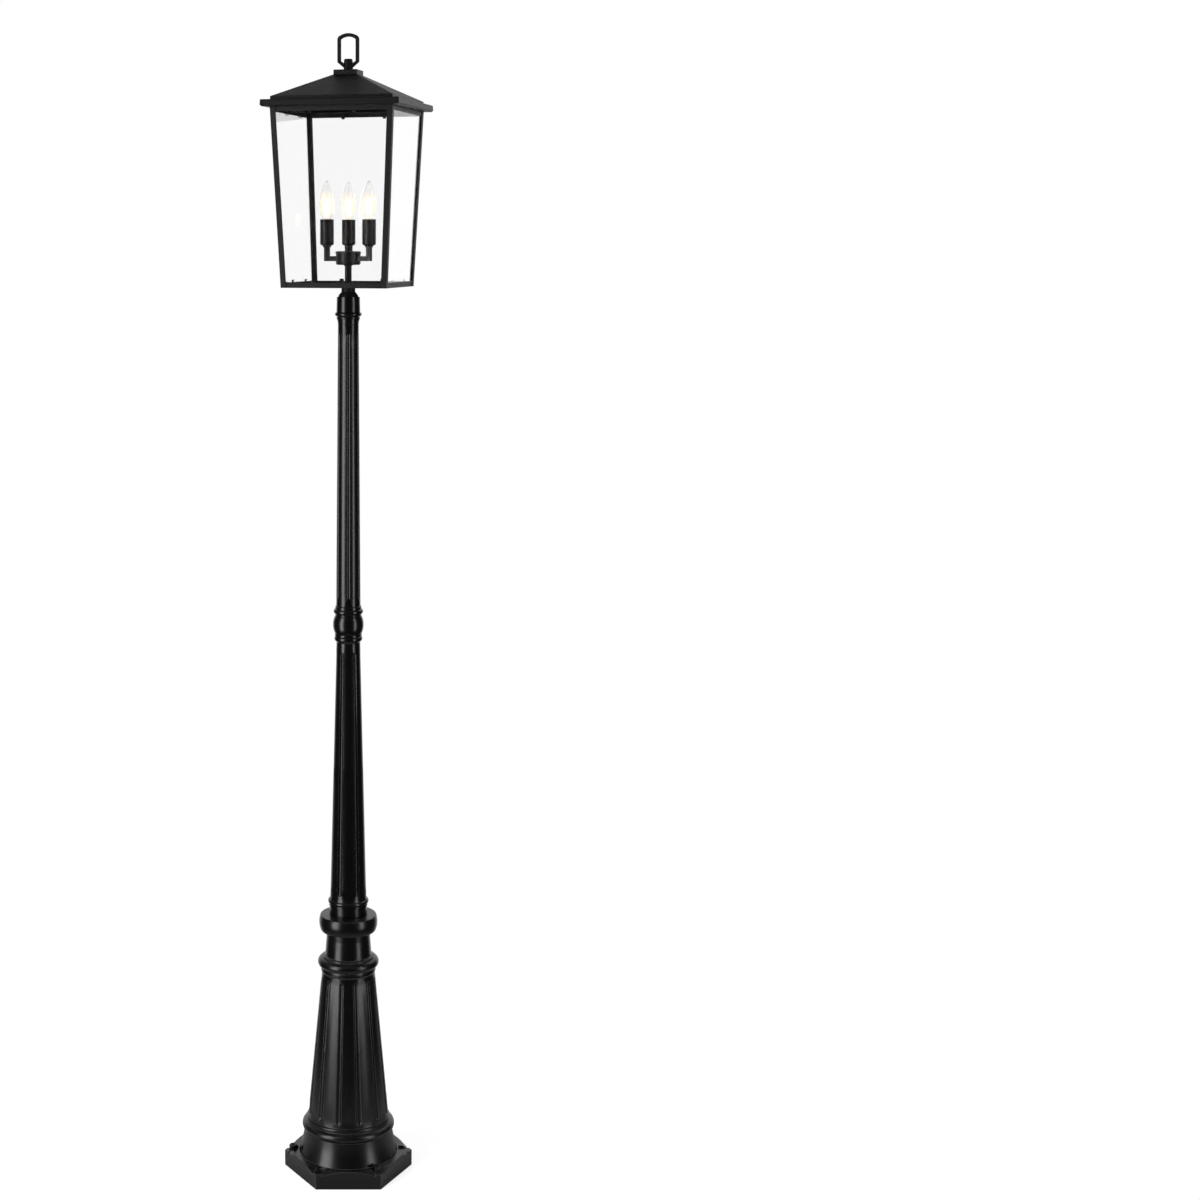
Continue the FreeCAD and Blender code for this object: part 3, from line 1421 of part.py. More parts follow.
make_base_casting()
make_anchor_hardware()
make_base_collar()
make_lower_shaft()
make_knuckle()
make_upper_shaft()
make_capital()
make_fitter_collar()
make_neck()
make_tray()
make_corner_posts()
make_top_frame()
make_panes()
make_bottom_clips()
make_top_clips()
make_roof_screws()
make_roof_shell()
make_roof_tabs()
make_cap_plate()
make_finial_boss()
make_finial_loop()
make_stem()
make_hub()
make_washers()
for name, angle in ARM_TURNS.items():
    x = S.cluster_radius * cosine(angle)
    y = S.cluster_radius * sine(angle)
    make_arm(name, angle)
    make_sleeve(name, x, y)
    make_socket(name, x, y)
    make_bulb_glass(name, x, y)
    make_bulb_cap(name, x, y)
    make_filament(name, x, y)
doc.recompute()
check_features()
write_parts()
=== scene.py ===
# %% [markdown]
# # A garden lamp post with a square glass lantern
#
# The construction of this lamp comes in ready made: every casting, sheet, pane and screw is already at its
# real size. This notebook gives the pieces their finish, adds the small parts that need finer mesh work,
# and lights the lamp like a product on a white sheet. Lengths are metres and the lamp stands at z = 0.

import json
import math

import bmesh
import bpy
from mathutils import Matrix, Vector


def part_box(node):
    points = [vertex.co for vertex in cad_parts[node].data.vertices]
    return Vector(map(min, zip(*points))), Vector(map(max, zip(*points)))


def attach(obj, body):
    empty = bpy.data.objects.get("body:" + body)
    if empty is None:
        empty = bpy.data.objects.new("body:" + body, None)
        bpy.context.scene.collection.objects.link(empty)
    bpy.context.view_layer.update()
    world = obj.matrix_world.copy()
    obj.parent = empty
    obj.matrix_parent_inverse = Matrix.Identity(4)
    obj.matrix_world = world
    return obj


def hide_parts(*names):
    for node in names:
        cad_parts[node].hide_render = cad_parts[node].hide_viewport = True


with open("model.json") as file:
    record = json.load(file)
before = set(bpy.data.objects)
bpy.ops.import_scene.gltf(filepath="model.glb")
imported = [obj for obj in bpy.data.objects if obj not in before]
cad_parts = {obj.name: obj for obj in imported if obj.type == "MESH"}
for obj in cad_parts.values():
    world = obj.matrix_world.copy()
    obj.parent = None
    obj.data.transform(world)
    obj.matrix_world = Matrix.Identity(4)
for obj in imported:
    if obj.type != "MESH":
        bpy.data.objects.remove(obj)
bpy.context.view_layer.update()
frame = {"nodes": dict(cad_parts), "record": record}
MM = 0.001

finish_of = {row["node"]: row["material_slot"] for row in frame["record"]["subparts"]}

# %% [markdown]
# ## The camera
#
# The lamp was photographed with a long lens from a little over four and a half metres away, from above its
# middle and from sixteen degrees to the right of the lantern's front. The lamp stands far left in the
# picture. A lens shift moves it there without turning the camera, so the post stays as upright as it was.

# %% Set up the camera
CAMERA_TURN = math.radians(16.04)
CAMERA_TILT = math.radians(79.95)
CAMERA_DISTANCE = 4.7178
CAMERA_HEIGHT = 2.2653
LENS_MM = 60.64
LENS_SHIFT = 0.2097

camera = bpy.data.objects.new("camera", bpy.data.cameras.new("camera"))
camera.location = (math.sin(CAMERA_TURN) * CAMERA_DISTANCE, -math.cos(CAMERA_TURN) * CAMERA_DISTANCE,
                   CAMERA_HEIGHT)
camera.rotation_euler = (CAMERA_TILT, 0, CAMERA_TURN)
camera.data.lens = LENS_MM
camera.data.shift_x = LENS_SHIFT
bpy.context.scene.collection.objects.link(camera)
bpy.context.scene.camera = camera
bpy.context.scene.view_settings.view_transform = "Standard"
print("camera at", [round(value, 3) for value in camera.location])

# %% [markdown]
# ## Writing node trees in text
#
# A material is a tree of nodes, and a tree drawn by hand is hard to repeat. A few small helpers make it
# short to write. One adds a node and connects whatever is handed to it. Others do a sum, stretch a range of
# values and make soft clouds. The last starts a node group with named inputs and outputs, which is worth
# making for an effect that several finishes share.

# %% Helpers for node trees
def add_node(tree, kind, inputs=None, **settings):
    """Add a node. A value in inputs is a number, a colour, or the output of another node."""
    node = tree.nodes.new(kind)
    for name, value in settings.items():
        setattr(node, name, value)
    for name, value in (inputs or {}).items():
        if isinstance(value, bpy.types.NodeSocket):
            tree.links.new(value, node.inputs[name])
        else:
            node.inputs[name].default_value = value
    return node


def calculate(tree, operation, *values):
    """One sum on up to three numbers. Gives the result's socket."""
    return add_node(tree, "ShaderNodeMath", dict(enumerate(values)), operation=operation).outputs[0]


def remap(tree, value, from_low, from_high, to_low, to_high):
    """Stretch a range of values over another range, and hold it there."""
    ranges = {"Value": value, "From Min": from_low, "From Max": from_high, "To Min": to_low,
              "To Max": to_high}
    return add_node(tree, "ShaderNodeMapRange", ranges, clamp=True).outputs["Result"]


def own_place(tree):
    """The point that is being shaded, in the piece's own coordinates, which move with it."""
    return tree.nodes.new("ShaderNodeTexCoord").outputs["Object"]


def clouds(tree, place, scale, detail, **inputs):
    """Soft noise between 0 and 1."""
    return add_node(tree, "ShaderNodeTexNoise", {
        "Vector": place, "Scale": scale, "Detail": detail, **inputs}).outputs["Fac"]


def start_group(name, kind, inputs, outputs):
    """A node group with its sockets. Gives the group, what comes in and what goes out."""
    group = bpy.data.node_groups.new(name, kind)
    for label, (socket_type, value) in inputs.items():
        socket = group.interface.new_socket(label, in_out="INPUT", socket_type=socket_type)
        if value is not None:
            socket.default_value = value
    for label, socket_type in outputs.items():
        group.interface.new_socket(label, in_out="OUTPUT", socket_type=socket_type)
    entry = group.nodes.new("NodeGroupInput")
    leave = group.nodes.new("NodeGroupOutput")
    return group, entry.outputs, leave.inputs


FLOAT = "NodeSocketFloat"
VECTOR = "NodeSocketVector"
GEOMETRY = "NodeSocketGeometry"


# %% [markdown]
# ## Sprayed texture
#
# Powder coat on the lantern is a fine sand: hard little grains less than a millimetre apart. Enamel on the
# post is smooth, but it still swells and sinks a little where it flowed before it dried. Both are one
# effect at two scales, so a single group makes them: fine grains on long waves. It reads Object
# coordinates, which stay with a piece when the lantern turns or the roof comes off.

# %% Node group: sprayed texture
def make_sprayed_texture():
    """Height of the paint film, and the grains alone, for the colour to pick up."""
    group, given, result = start_group(
        "sprayed_texture", "ShaderNodeTree",
        {"Grain Scale": (FLOAT, 900.0), "Grain Height": (FLOAT, 0.5), "Wave Scale": (FLOAT, 60.0)},
        {"Height": FLOAT, "Grains": FLOAT})
    place = own_place(group)
    fine = clouds(group, place, given["Grain Scale"], 2.0, Roughness=0.6)
    cells = add_node(group, "ShaderNodeTexVoronoi", {
        "Vector": place, "Scale": given["Grain Scale"], "Randomness": 1.0}).outputs["Distance"]
    grains = calculate(group, "SUBTRACT", calculate(group, "ADD", fine, 0.35), cells)
    waves = clouds(group, place, given["Wave Scale"], 1.0)
    height = calculate(group, "MULTIPLY_ADD", grains, given["Grain Height"], waves)
    group.links.new(height, result["Height"])
    group.links.new(remap(group, grains, 0.1, 0.75, 0.0, 1.0), result["Grains"])
    return group


SPRAYED_TEXTURE = make_sprayed_texture()
print("group:", SPRAYED_TEXTURE.name)

# %% [markdown]
# ## Rounded edges: worn paint and a painted highlight
#
# No painted edge is a knife edge. Paint pulls back from it and packing rubs it, so each fold and rim of
# this lamp shows as a thin paler line. On the cast base that paler line is mostly a painted highlight, which
# stands in for the glint of the tall lights on its rounded flute edges. The Bevel node looks a little way
# round each point and gives the normal that a rounded edge would have. Where it differs from the true one
# there is an edge, which gives both a soft glint and a mask for the worn paint and the painted highlight.

# %% Node group: rounded edges, for worn paint and a painted highlight
def make_rounded_edges():
    """The rounded normal, and a mask that is 1 on the edges."""
    group, given, result = start_group(
        "rounded_edges", "ShaderNodeTree", {"Edge Radius": (FLOAT, 0.001)}, {"Normal": VECTOR, "Mask": FLOAT})
    rounded = add_node(group, "ShaderNodeBevel", {"Radius": given["Edge Radius"]}, samples=4).outputs[0]
    true_normal = group.nodes.new("ShaderNodeNewGeometry").outputs["Normal"]
    same = add_node(group, "ShaderNodeVectorMath", {0: rounded, 1: true_normal}, operation="DOT_PRODUCT")
    mask = remap(group, same.outputs["Value"], 0.97, 0.80, 0.0, 1.0)
    group.links.new(rounded, result["Normal"])
    group.links.new(mask, result["Mask"])
    return group


ROUNDED_EDGES = make_rounded_edges()
print("group:", ROUNDED_EDGES.name)

# %% [markdown]
# ## Settled dust
#
# A lamp that has stood in a room for an hour has a trace of dust on what faces up. It dulls the shine more
# than it shows as a colour. The mask is how far a surface faces up, broken up by a soft cloud.

# %% Node group: settled dust
def make_settled_dust():
    """A mask for dust, which lies on upward faces only."""
    group, given, result = start_group(
        "settled_dust", "ShaderNodeTree", {"Cloud Scale": (FLOAT, 25.0)}, {"Mask": FLOAT})
    shape = group.nodes.new("ShaderNodeNewGeometry")
    upward = add_node(group, "ShaderNodeSeparateXYZ", {0: shape.outputs["Normal"]}).outputs["Z"]
    cloud = clouds(group, own_place(group), given["Cloud Scale"], 4.0)
    lying = remap(group, upward, 0.25, 0.95, 0.0, 1.0)
    group.links.new(calculate(group, "MULTIPLY", lying, remap(group, cloud, 0.35, 0.7, 0.2, 1.0)),
                    result["Mask"])
    return group


SETTLED_DUST = make_settled_dust()
print("group:", SETTLED_DUST.name)

# %% [markdown]
# ## Black paints
#
# The blacks share one recipe and differ in their numbers. The post is enamelled and shines softly, so tall
# lights draw bright stripes down its flutes. Its cast base has the same enamel over rounder edges, which
# carry a pale painted highlight that stands in for the lights' glint there. The lantern is powder coated,
# nearly matt, and a touch blue. The candle sleeves and their arms lie between the two. Dust takes off some
# shine, and the film's own height goes into a Bump node. Four separate materials would also do, but one
# function keeps them alike.

# %% Make the paints
def start_material(name):
    """A new material. Gives it, its tree and its surface shader."""
    material = bpy.data.materials.new(name)
    material.use_nodes = True
    return material, material.node_tree, material.node_tree.nodes["Principled BSDF"]


def group_node(tree, group, inputs):
    """Place a node group in a material with its own values."""
    node = tree.nodes.new("ShaderNodeGroup")
    node.node_tree = group
    for name, value in inputs.items():
        node.inputs[name].default_value = value
    return node.outputs


def blend_colours(tree, share, first, second):
    """Mix two colours by a mask."""
    node = tree.nodes.new("ShaderNodeMix")
    node.data_type = "RGBA"
    for socket, value in ((node.inputs[0], share), (node.inputs[6], first), (node.inputs[7], second)):
        if isinstance(value, bpy.types.NodeSocket):
            tree.links.new(value, socket)
        else:
            socket.default_value = value
    return node.outputs[2]


def emboss(tree, surface, height, depth, strength=1.0, **inputs):
    """Let a height tilt the surface's normal, as if it rose and sank by up to a depth."""
    bump = add_node(tree, "ShaderNodeBump", {
        "Height": height, "Distance": depth, "Strength": strength, **inputs})
    tree.links.new(bump.outputs[0], surface.inputs["Normal"])


def make_paint(name, colour, grain_colour, edge_wear_and_highlight_colour, shine, grain, waves, film, edge_radius, gloss):
    """A black paint. shine is its roughness low and high, film how deep its texture is, gloss its mirror."""
    material, tree, surface = start_material(name)
    texture = group_node(tree, SPRAYED_TEXTURE, {
        "Grain Scale": grain[0], "Grain Height": grain[1], "Wave Scale": waves})
    edges = group_node(tree, ROUNDED_EDGES, {"Edge Radius": edge_radius})
    dust = group_node(tree, SETTLED_DUST, {"Cloud Scale": DUST_CLOUDS})
    speckled = blend_colours(tree, texture["Grains"], colour, grain_colour)
    # Edges turn paler: worn paint on most pieces, and a painted highlight on the cast base.
    worn_and_highlit = blend_colours(tree, calculate(tree, "MULTIPLY", edges["Mask"], EDGE_WEAR_AND_HIGHLIGHT_SHARE), speckled, edge_wear_and_highlight_colour)
    dusty = blend_colours(tree, calculate(tree, "MULTIPLY", dust["Mask"], DUST_SHARE), worn_and_highlit, DUST_COLOUR)
    tree.links.new(dusty, surface.inputs["Base Color"])
    roughness = remap(tree, texture["Height"], *FILM_RANGE, *shine)
    dulled = calculate(tree, "MULTIPLY_ADD", dust["Mask"], DUST_DULLING, roughness)
    tree.links.new(dulled, surface.inputs["Roughness"])
    emboss(tree, surface, texture["Height"], film, Normal=edges["Normal"])
    surface.inputs["Specular IOR Level"].default_value = gloss
    return material


FILM_RANGE = (0.3, 1.1)     # the texture's height where the paint is glossiest and dullest
EDGE_WEAR_AND_HIGHLIGHT_SHARE = 0.5
DUST_COLOUR = (0.35, 0.33, 0.30, 1)
DUST_CLOUDS = 25.0
DUST_SHARE = 0.05
DUST_DULLING = 0.08
ENAMEL = {
    "colour": (0.0018, 0.0018, 0.0020, 1), "grain_colour": (0.0026, 0.0026, 0.0028, 1),
    "grain": (1100.0, 0.08), "waves": 30.0, "film": 0.05 * MM, "gloss": 0.40}

post_paint = make_paint(
    "post_enamel", edge_wear_and_highlight_colour=(0.012, 0.012, 0.0125, 1), shine=(0.20, 0.26), edge_radius=1.0 * MM, **ENAMEL)
# The cast base's pale edge colour is a painted highlight along its flute edges, not wear alone.
casting_paint = make_paint(
    "casting_enamel", edge_wear_and_highlight_colour=(0.22, 0.22, 0.22, 1), shine=(0.24, 0.31), edge_radius=2.2 * MM, **ENAMEL)
lantern_paint = make_paint(
    "lantern_powder_coat", colour=(0.0020, 0.0021, 0.0025, 1), grain_colour=(0.0065, 0.0067, 0.0075, 1),
    edge_wear_and_highlight_colour=(0.024, 0.025, 0.026, 1), shine=(0.36, 0.52), grain=(850.0, 0.85), waves=150.0,
    film=0.20 * MM, edge_radius=0.8 * MM, gloss=0.20)
cluster_paint = make_paint(
    "candle_satin", colour=(0.0024, 0.0024, 0.0025, 1), grain_colour=(0.0050, 0.0050, 0.0052, 1),
    edge_wear_and_highlight_colour=(0.020, 0.020, 0.021, 1), shine=(0.33, 0.45), grain=(1300.0, 0.30), waves=200.0,
    film=0.10 * MM, edge_radius=0.6 * MM, gloss=0.28)
print("paints:", post_paint.name, casting_paint.name, lantern_paint.name, cluster_paint.name)

# %% [markdown]
# ## Small metal parts
#
# The nuts and the nipple inside are zinc plated, the bulbs have rolled aluminium caps, and each cap ends in
# a brass contact. Bare metal is a Principled surface with Metallic at 1. Its colour is the reflection's
# colour, and fine scratches in the roughness keep it from looking like a mirror.

# %% Make the bare metals
def make_metal(name, colour, stain, shine, scratch_scale):
    """Bare metal with scratches, and clouds of a second colour where it has dulled."""
    material, tree, surface = start_material(name)
    place = own_place(tree)
    stretched = add_node(tree, "ShaderNodeMapping", {"Vector": place, "Scale": (1.0, 1.0, SCRATCH_STRETCH)})
    scratches = clouds(tree, stretched.outputs[0], scratch_scale, 5.0)
    cloud = clouds(tree, place, STAIN_CLOUDS, 3.0)
    tree.links.new(blend_colours(tree, remap(tree, cloud, 0.4, 0.7, 0.0, 1.0), colour, stain),
                   surface.inputs["Base Color"])
    tree.links.new(remap(tree, scratches, 0.3, 0.7, *shine), surface.inputs["Roughness"])
    emboss(tree, surface, scratches, SCRATCH_DEPTH)
    surface.inputs["Metallic"].default_value = 1.0
    return material


SCRATCH_STRETCH = 12.0
SCRATCH_DEPTH = 0.02 * MM
STAIN_CLOUDS = 160.0
zinc = make_metal("zinc_plate", (0.55, 0.56, 0.58, 1), (0.42, 0.42, 0.42, 1), (0.25, 0.45), 300.0)
rolled_aluminium = make_metal(
    "rolled_cap", (0.78, 0.78, 0.80, 1), (0.62, 0.62, 0.64, 1), (0.16, 0.30), 500.0)
brass = make_metal("contact_brass", (0.78, 0.60, 0.28, 1), (0.50, 0.36, 0.18, 1), (0.18, 0.35), 500.0)
print("metals:", zinc.name, rolled_aluminium.name, brass.name)

# %% [markdown]
# ## Moulded sockets
#
# The sockets inside the sleeves are moulded from a heat-proof plastic. It is dark grey and slightly grainy,
# and only their mouths can be seen.

# %% Make the socket plastic
def make_socket_plastic():
    """Dark grey plastic with a fine grain from its mould."""
    material, tree, surface = start_material("socket_plastic")
    texture = group_node(tree, SPRAYED_TEXTURE, {
        "Grain Scale": 1600.0, "Grain Height": 0.5, "Wave Scale": 300.0})
    tree.links.new(blend_colours(tree, texture["Grains"], (0.02, 0.02, 0.02, 1), (0.035, 0.034, 0.033, 1)),
                   surface.inputs["Base Color"])
    tree.links.new(remap(tree, texture["Height"], *FILM_RANGE, 0.45, 0.65), surface.inputs["Roughness"])
    emboss(tree, surface, texture["Height"], 0.05 * MM)
    return material


socket_plastic = make_socket_plastic()
print("plastic:", socket_plastic.name)

# %% [markdown]
# ## Clear glass
#
# Real glass has two faces, and light bends at both, so panes and bulbs are solids with a wall and a
# Principled surface at full Transmission. A renderer can't send a lamp's light through bent glass without
# a lot of noise. So for shadow rays alone the glass is nearly open: Light Path lowers Alpha for them. Faint
# smears in the roughness show in the glints and nowhere else.

# %% Make the clear glasses
def let_lamps_through(tree, surface):
    """Lower Alpha for the rays that look for a lamp, and for no others."""
    to_lamp = tree.nodes.new("ShaderNodeLightPath").outputs["Is Shadow Ray"]
    alpha = calculate(tree, "MULTIPLY_ADD", to_lamp, -SHADOW_CLEARNESS, 1.0)
    tree.links.new(alpha, surface.inputs["Alpha"])


def make_glass(name, tint, smear_scale, smear_depth, ior, mirror):
    """Clear glass, a little uneven, that lets lamp light through."""
    material, tree, surface = start_material(name)
    place = own_place(tree)
    smears = clouds(tree, place, smear_scale, 3.0, Distortion=0.6)
    tree.links.new(remap(tree, smears, 0.45, 0.75, 0.0, smear_depth), surface.inputs["Roughness"])
    tree.links.new(blend_colours(tree, remap(tree, smears, 0.3, 0.8, 0.0, 1.0), tint[0], tint[1]),
                   surface.inputs["Base Color"])
    emboss(tree, surface, clouds(tree, place, SHEET_WAVES, 0.0), SHEET_WAVE_DEPTH, 0.5)
    let_lamps_through(tree, surface)
    surface.inputs["Transmission Weight"].default_value = 1.0
    surface.inputs["IOR"].default_value = ior
    surface.inputs["Specular IOR Level"].default_value = mirror
    return material


SHADOW_CLEARNESS = 0.9
SHEET_WAVES = 9.0
SHEET_WAVE_DEPTH = 0.1 * MM
pane_glass = make_glass(
    "pane_glass", tint=((0.999, 1.0, 0.9995, 1), (0.993, 0.997, 0.995, 1)), smear_scale=14.0,
    smear_depth=0.003, ior=1.46, mirror=0.25)
print("glass:", pane_glass.name)

# %% [markdown]
# ## Dress the ready-made pieces
#
# The record that came with the lamp names a finish for every piece. One table from finish to material
# dresses them all, and only the castings near the ground are then given their own enamel. The bulbs' glass,
# caps and filaments follow further down, as pieces of their own.

# %% Assign the finishes
MATERIALS = {
    "post_paint": post_paint, "lantern_paint": lantern_paint, "cluster_paint": cluster_paint,
    "pane_glass": pane_glass, "zinc_steel": zinc, "socket_plastic": socket_plastic,
    "bulb_glass": pane_glass, "bulb_cap_metal": rolled_aluminium, "contact_brass": brass,
    "filament_glass": pane_glass,
}


def dress(piece, material):
    """Give one material to every face of a piece."""
    if not piece.material_slots:
        piece.data.materials.append(material)
    for slot in piece.material_slots:
        slot.material = material


for node, piece in frame["nodes"].items():
    dress(piece, MATERIALS[finish_of[node]])
for node in ("base_casting", "base_collar", "anchor_washers"):
    dress(frame["nodes"][node], casting_paint)
print("dressed:", len(frame["nodes"]))

# %% [markdown]
# ## Turning a mesh from an outline
#
# Bulbs, their caps, nuts and screws are all an outline of radius and height turned about an upright axis.
# Points on the axis become a single pole vertex, so the mesh closes there without slivers. The outline is
# one closed loop that runs up the outside and back down the inside, which gives a wall of real thickness.
# It may also be a function of the angle: that is how a nut gets its six flats and a screw its cross.

# %% Helper for turned pieces
def arc(start, middle, end, steps):
    """Points on the circle through three (radius, height) points, without the last one."""
    (ax, ay), (bx, by), (cx, cy) = start, middle, end
    twice_area = 2 * (ax * (by - cy) + bx * (cy - ay) + cx * (ay - by))
    squares = [x * x + y * y for x, y in (start, middle, end)]
    centre_x = (squares[0] * (by - cy) + squares[1] * (cy - ay) + squares[2] * (ay - by)) / twice_area
    centre_y = (squares[0] * (cx - bx) + squares[1] * (ax - cx) + squares[2] * (bx - ax)) / twice_area
    radius = math.hypot(ax - centre_x, ay - centre_y)
    first = math.atan2(ay - centre_y, ax - centre_x)
    sweep = math.atan2(cy - centre_y, cx - centre_x) - first
    sweep = (sweep + math.pi) % (2 * math.pi) - math.pi
    angles = [first + sweep * step / steps for step in range(steps)]
    return [(centre_x + radius * math.cos(a), centre_y + radius * math.sin(a)) for a in angles]


def turned_piece(name, outline, axis, around):
    """Turn a closed outline, in millimetres, about an upright axis that stands at a point in metres."""
    angles = [2 * math.pi * step / around for step in range(around)]
    outline_at = outline if callable(outline) else lambda angle: outline
    mesh = bmesh.new()
    rings = []
    for ring in zip(*(outline_at(angle) for angle in angles)):
        if ring[0][0] < 1e-6:
            rings.append([mesh.verts.new((axis.x, axis.y, axis.z + ring[0][1] * MM))] * around)
            continue
        rings.append([mesh.verts.new((axis.x + math.cos(angle) * radius * MM,
                                      axis.y + math.sin(angle) * radius * MM, axis.z + height * MM))
                      for angle, (radius, height) in zip(angles, ring)])
    for index, low in enumerate(rings):
        high = rings[(index + 1) % len(rings)]
        if low[0] is low[1] and high[0] is high[1]:
            continue
        for step in range(around):
            corners = [low[step], low[(step + 1) % around], high[(step + 1) % around], high[step]]
            mesh.faces.new(list(dict.fromkeys(corners)))
    bmesh.ops.recalc_face_normals(mesh, faces=mesh.faces)
    piece = bpy.data.objects.new(name, bpy.data.meshes.new(name))
    mesh.to_mesh(piece.data)
    mesh.free()
    bpy.context.scene.collection.objects.link(piece)
    return piece


def soften(piece, degrees=35):
    """Shade a piece smooth, but keep its real edges sharp."""
    piece.data.shade_smooth()
    piece.data.set_sharp_from_angle(angle=math.radians(degrees))
    return piece


# %% [markdown]
# ## The candle bulbs' glass
#
# Each bulb is blown to a flame shape: a straight neck that stands in the cap, a belly as wide as a candle
# flame, and a drawn tip that ends in a tiny pip where the tube was sealed. A subdivided cage could give that
# too, but three arcs are exact and easy to change. Lit, the lower half is filled with warm light. That light
# is painted onto the glass: a warm painted tint and a weak painted glow fade out with height, and the tip
# stays clear.

# %% Blow the bulbs
BULBS = ("rear", "left", "right")
BULB_ABOVE_MOUTH = 86.3
CAP_DEPTH = 12.0
NECK_RADIUS = 6.3
MOUTH_RADIUS = 8.45
BELLY_RADIUS = 17.2
TIP_RADIUS = 6.2
PIP_RADIUS = 0.9
BELLY_HEIGHT = 33.0
TIP_HEIGHT = 78.8
GLASS_WALL = 0.7
BULB_AROUND = 64


def between(start, end, inwards, upwards):
    """A point between two (radius, height) points, by one share of the radius and one of the height."""
    return start[0] + (end[0] - start[0]) * inwards, start[1] + (end[1] - start[1]) * upwards


def bulb_outline(inset):
    """One side of the glass, from the neck's foot to the tip. The inset is 0 outside, the wall inside."""
    neck = NECK_RADIUS - inset
    mouth = (MOUTH_RADIUS - inset, 0)
    belly = (BELLY_RADIUS - inset, BELLY_HEIGHT)
    tip = (TIP_RADIUS - inset, TIP_HEIGHT)
    top = (0, BULB_ABOVE_MOUTH - inset)
    pip = (PIP_RADIUS - inset / 2, top[1])
    return ([(neck, -CAP_DEPTH), (neck, -CAP_DEPTH * 0.4)]
            + arc(mouth, between(mouth, belly, 0.623, 0.43), belly, 20)
            + arc(belly, between(belly, tip, 0.264, 0.48), tip, 30)
            + arc(tip, between(tip, top, 0.4, 0.6), pip, 8) + [pip, top])


def make_bulb_glass(mouth_height):
    """Clear at the tip. Below the belly it carries a painted warm tint and a painted glow, for the
    filament's light.
    """
    material, tree, surface = start_material("bulb_glass_lit")
    place = own_place(tree)
    height = add_node(tree, "ShaderNodeSeparateXYZ", {0: place}).outputs["Z"]
    above = calculate(tree, "SUBTRACT", height, mouth_height)
    rising = remap(tree, above, *GLOW_RISES, 0.0, 1.0)
    fading = remap(tree, above, *GLOW_FADES, 1.0, 0.0)
    lit = calculate(tree, "MULTIPLY", rising, fading)
    drawn_out = add_node(tree, "ShaderNodeMapping", {"Vector": place, "Scale": (1.0, 1.0, 0.15)})
    streak = clouds(tree, drawn_out.outputs[0], 220.0, 2.0)
    painted_glow = calculate(tree, "MULTIPLY", lit, remap(tree, streak, 0.3, 0.7, 0.7, 1.0))
    # The filament's light painted on the glass: a warm tint in the base colour and a glow, both fading with
    # height.
    tree.links.new(blend_colours(tree, lit, (0.985, 0.985, 0.985, 1), (1.0, 0.93, 0.82, 1)),
                   surface.inputs["Base Color"])
    tree.links.new(blend_colours(tree, painted_glow, (0, 0, 0, 1), (1.0, 0.85, 0.66, 1)),
                   surface.inputs["Emission Color"])
    tree.links.new(remap(tree, streak, 0.4, 0.7, 0.0, 0.03), surface.inputs["Roughness"])
    emboss(tree, surface, streak, 0.05 * MM, 0.6)
    let_lamps_through(tree, surface)
    surface.inputs["Emission Strength"].default_value = BULB_GLOW
    surface.inputs["Transmission Weight"].default_value = 1.0
    surface.inputs["IOR"].default_value = 1.47
    return material


def bulb_axis(bulb):
    """The point on a bulb's axis that is level with its sleeve's mouth."""
    low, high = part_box(f"bulb_{bulb}_glass")
    return Vector(((low.x + high.x) / 2, (low.y + high.y) / 2, high.z - BULB_ABOVE_MOUTH * MM))


# Strength of the glow painted on the bulb glass.
BULB_GLOW = 0.13
GLOW_RISES = (-4.0 * MM, 22.0 * MM)
GLOW_FADES = (30.0 * MM, 66.0 * MM)
bulb_glass = make_bulb_glass(bulb_axis("rear").z)
bulb_wall = bulb_outline(0) + bulb_outline(GLASS_WALL)[::-1]
for bulb in BULBS:
    envelope = soften(turned_piece(f"bulb_{bulb}_envelope", bulb_wall, bulb_axis(bulb), BULB_AROUND))
    dress(envelope, bulb_glass)
    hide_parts(f"bulb_{bulb}_glass")
    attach(envelope, f"bulb_{bulb}")
    print(envelope.name, "faces:", len(envelope.data.polygons))

# %% [markdown]
# ## A rolled thread
#
# The screw thread of a bulb's cap is not cut. It is rolled into thin metal, so it is a soft wave that
# climbs as it goes round. Geometry Nodes make it from a plain turned cap: each point's angle and height
# give its place in the wave, and it moves inwards by that much. The same tree later makes the shanks of
# the screws. Points nearer the axis than the core stay, and the wave dies away at both ends.

# %% Geometry Nodes: rolled thread
def geometry_tree(name, inputs):
    """Start a tree that works on a piece's own geometry."""
    sockets = {"Geometry": (GEOMETRY, None), **inputs}
    return start_group(name, "GeometryNodeTree", sockets, {"Geometry": GEOMETRY})


def real_mesh(tree, geometry, material):
    """The end of a tree or branch: real mesh instead of instances, with its material set."""
    real = add_node(tree, "GeometryNodeRealizeInstances", {0: geometry})
    return add_node(tree, "GeometryNodeSetMaterial", {
        "Geometry": real.outputs[0], "Material": material}).outputs[0]


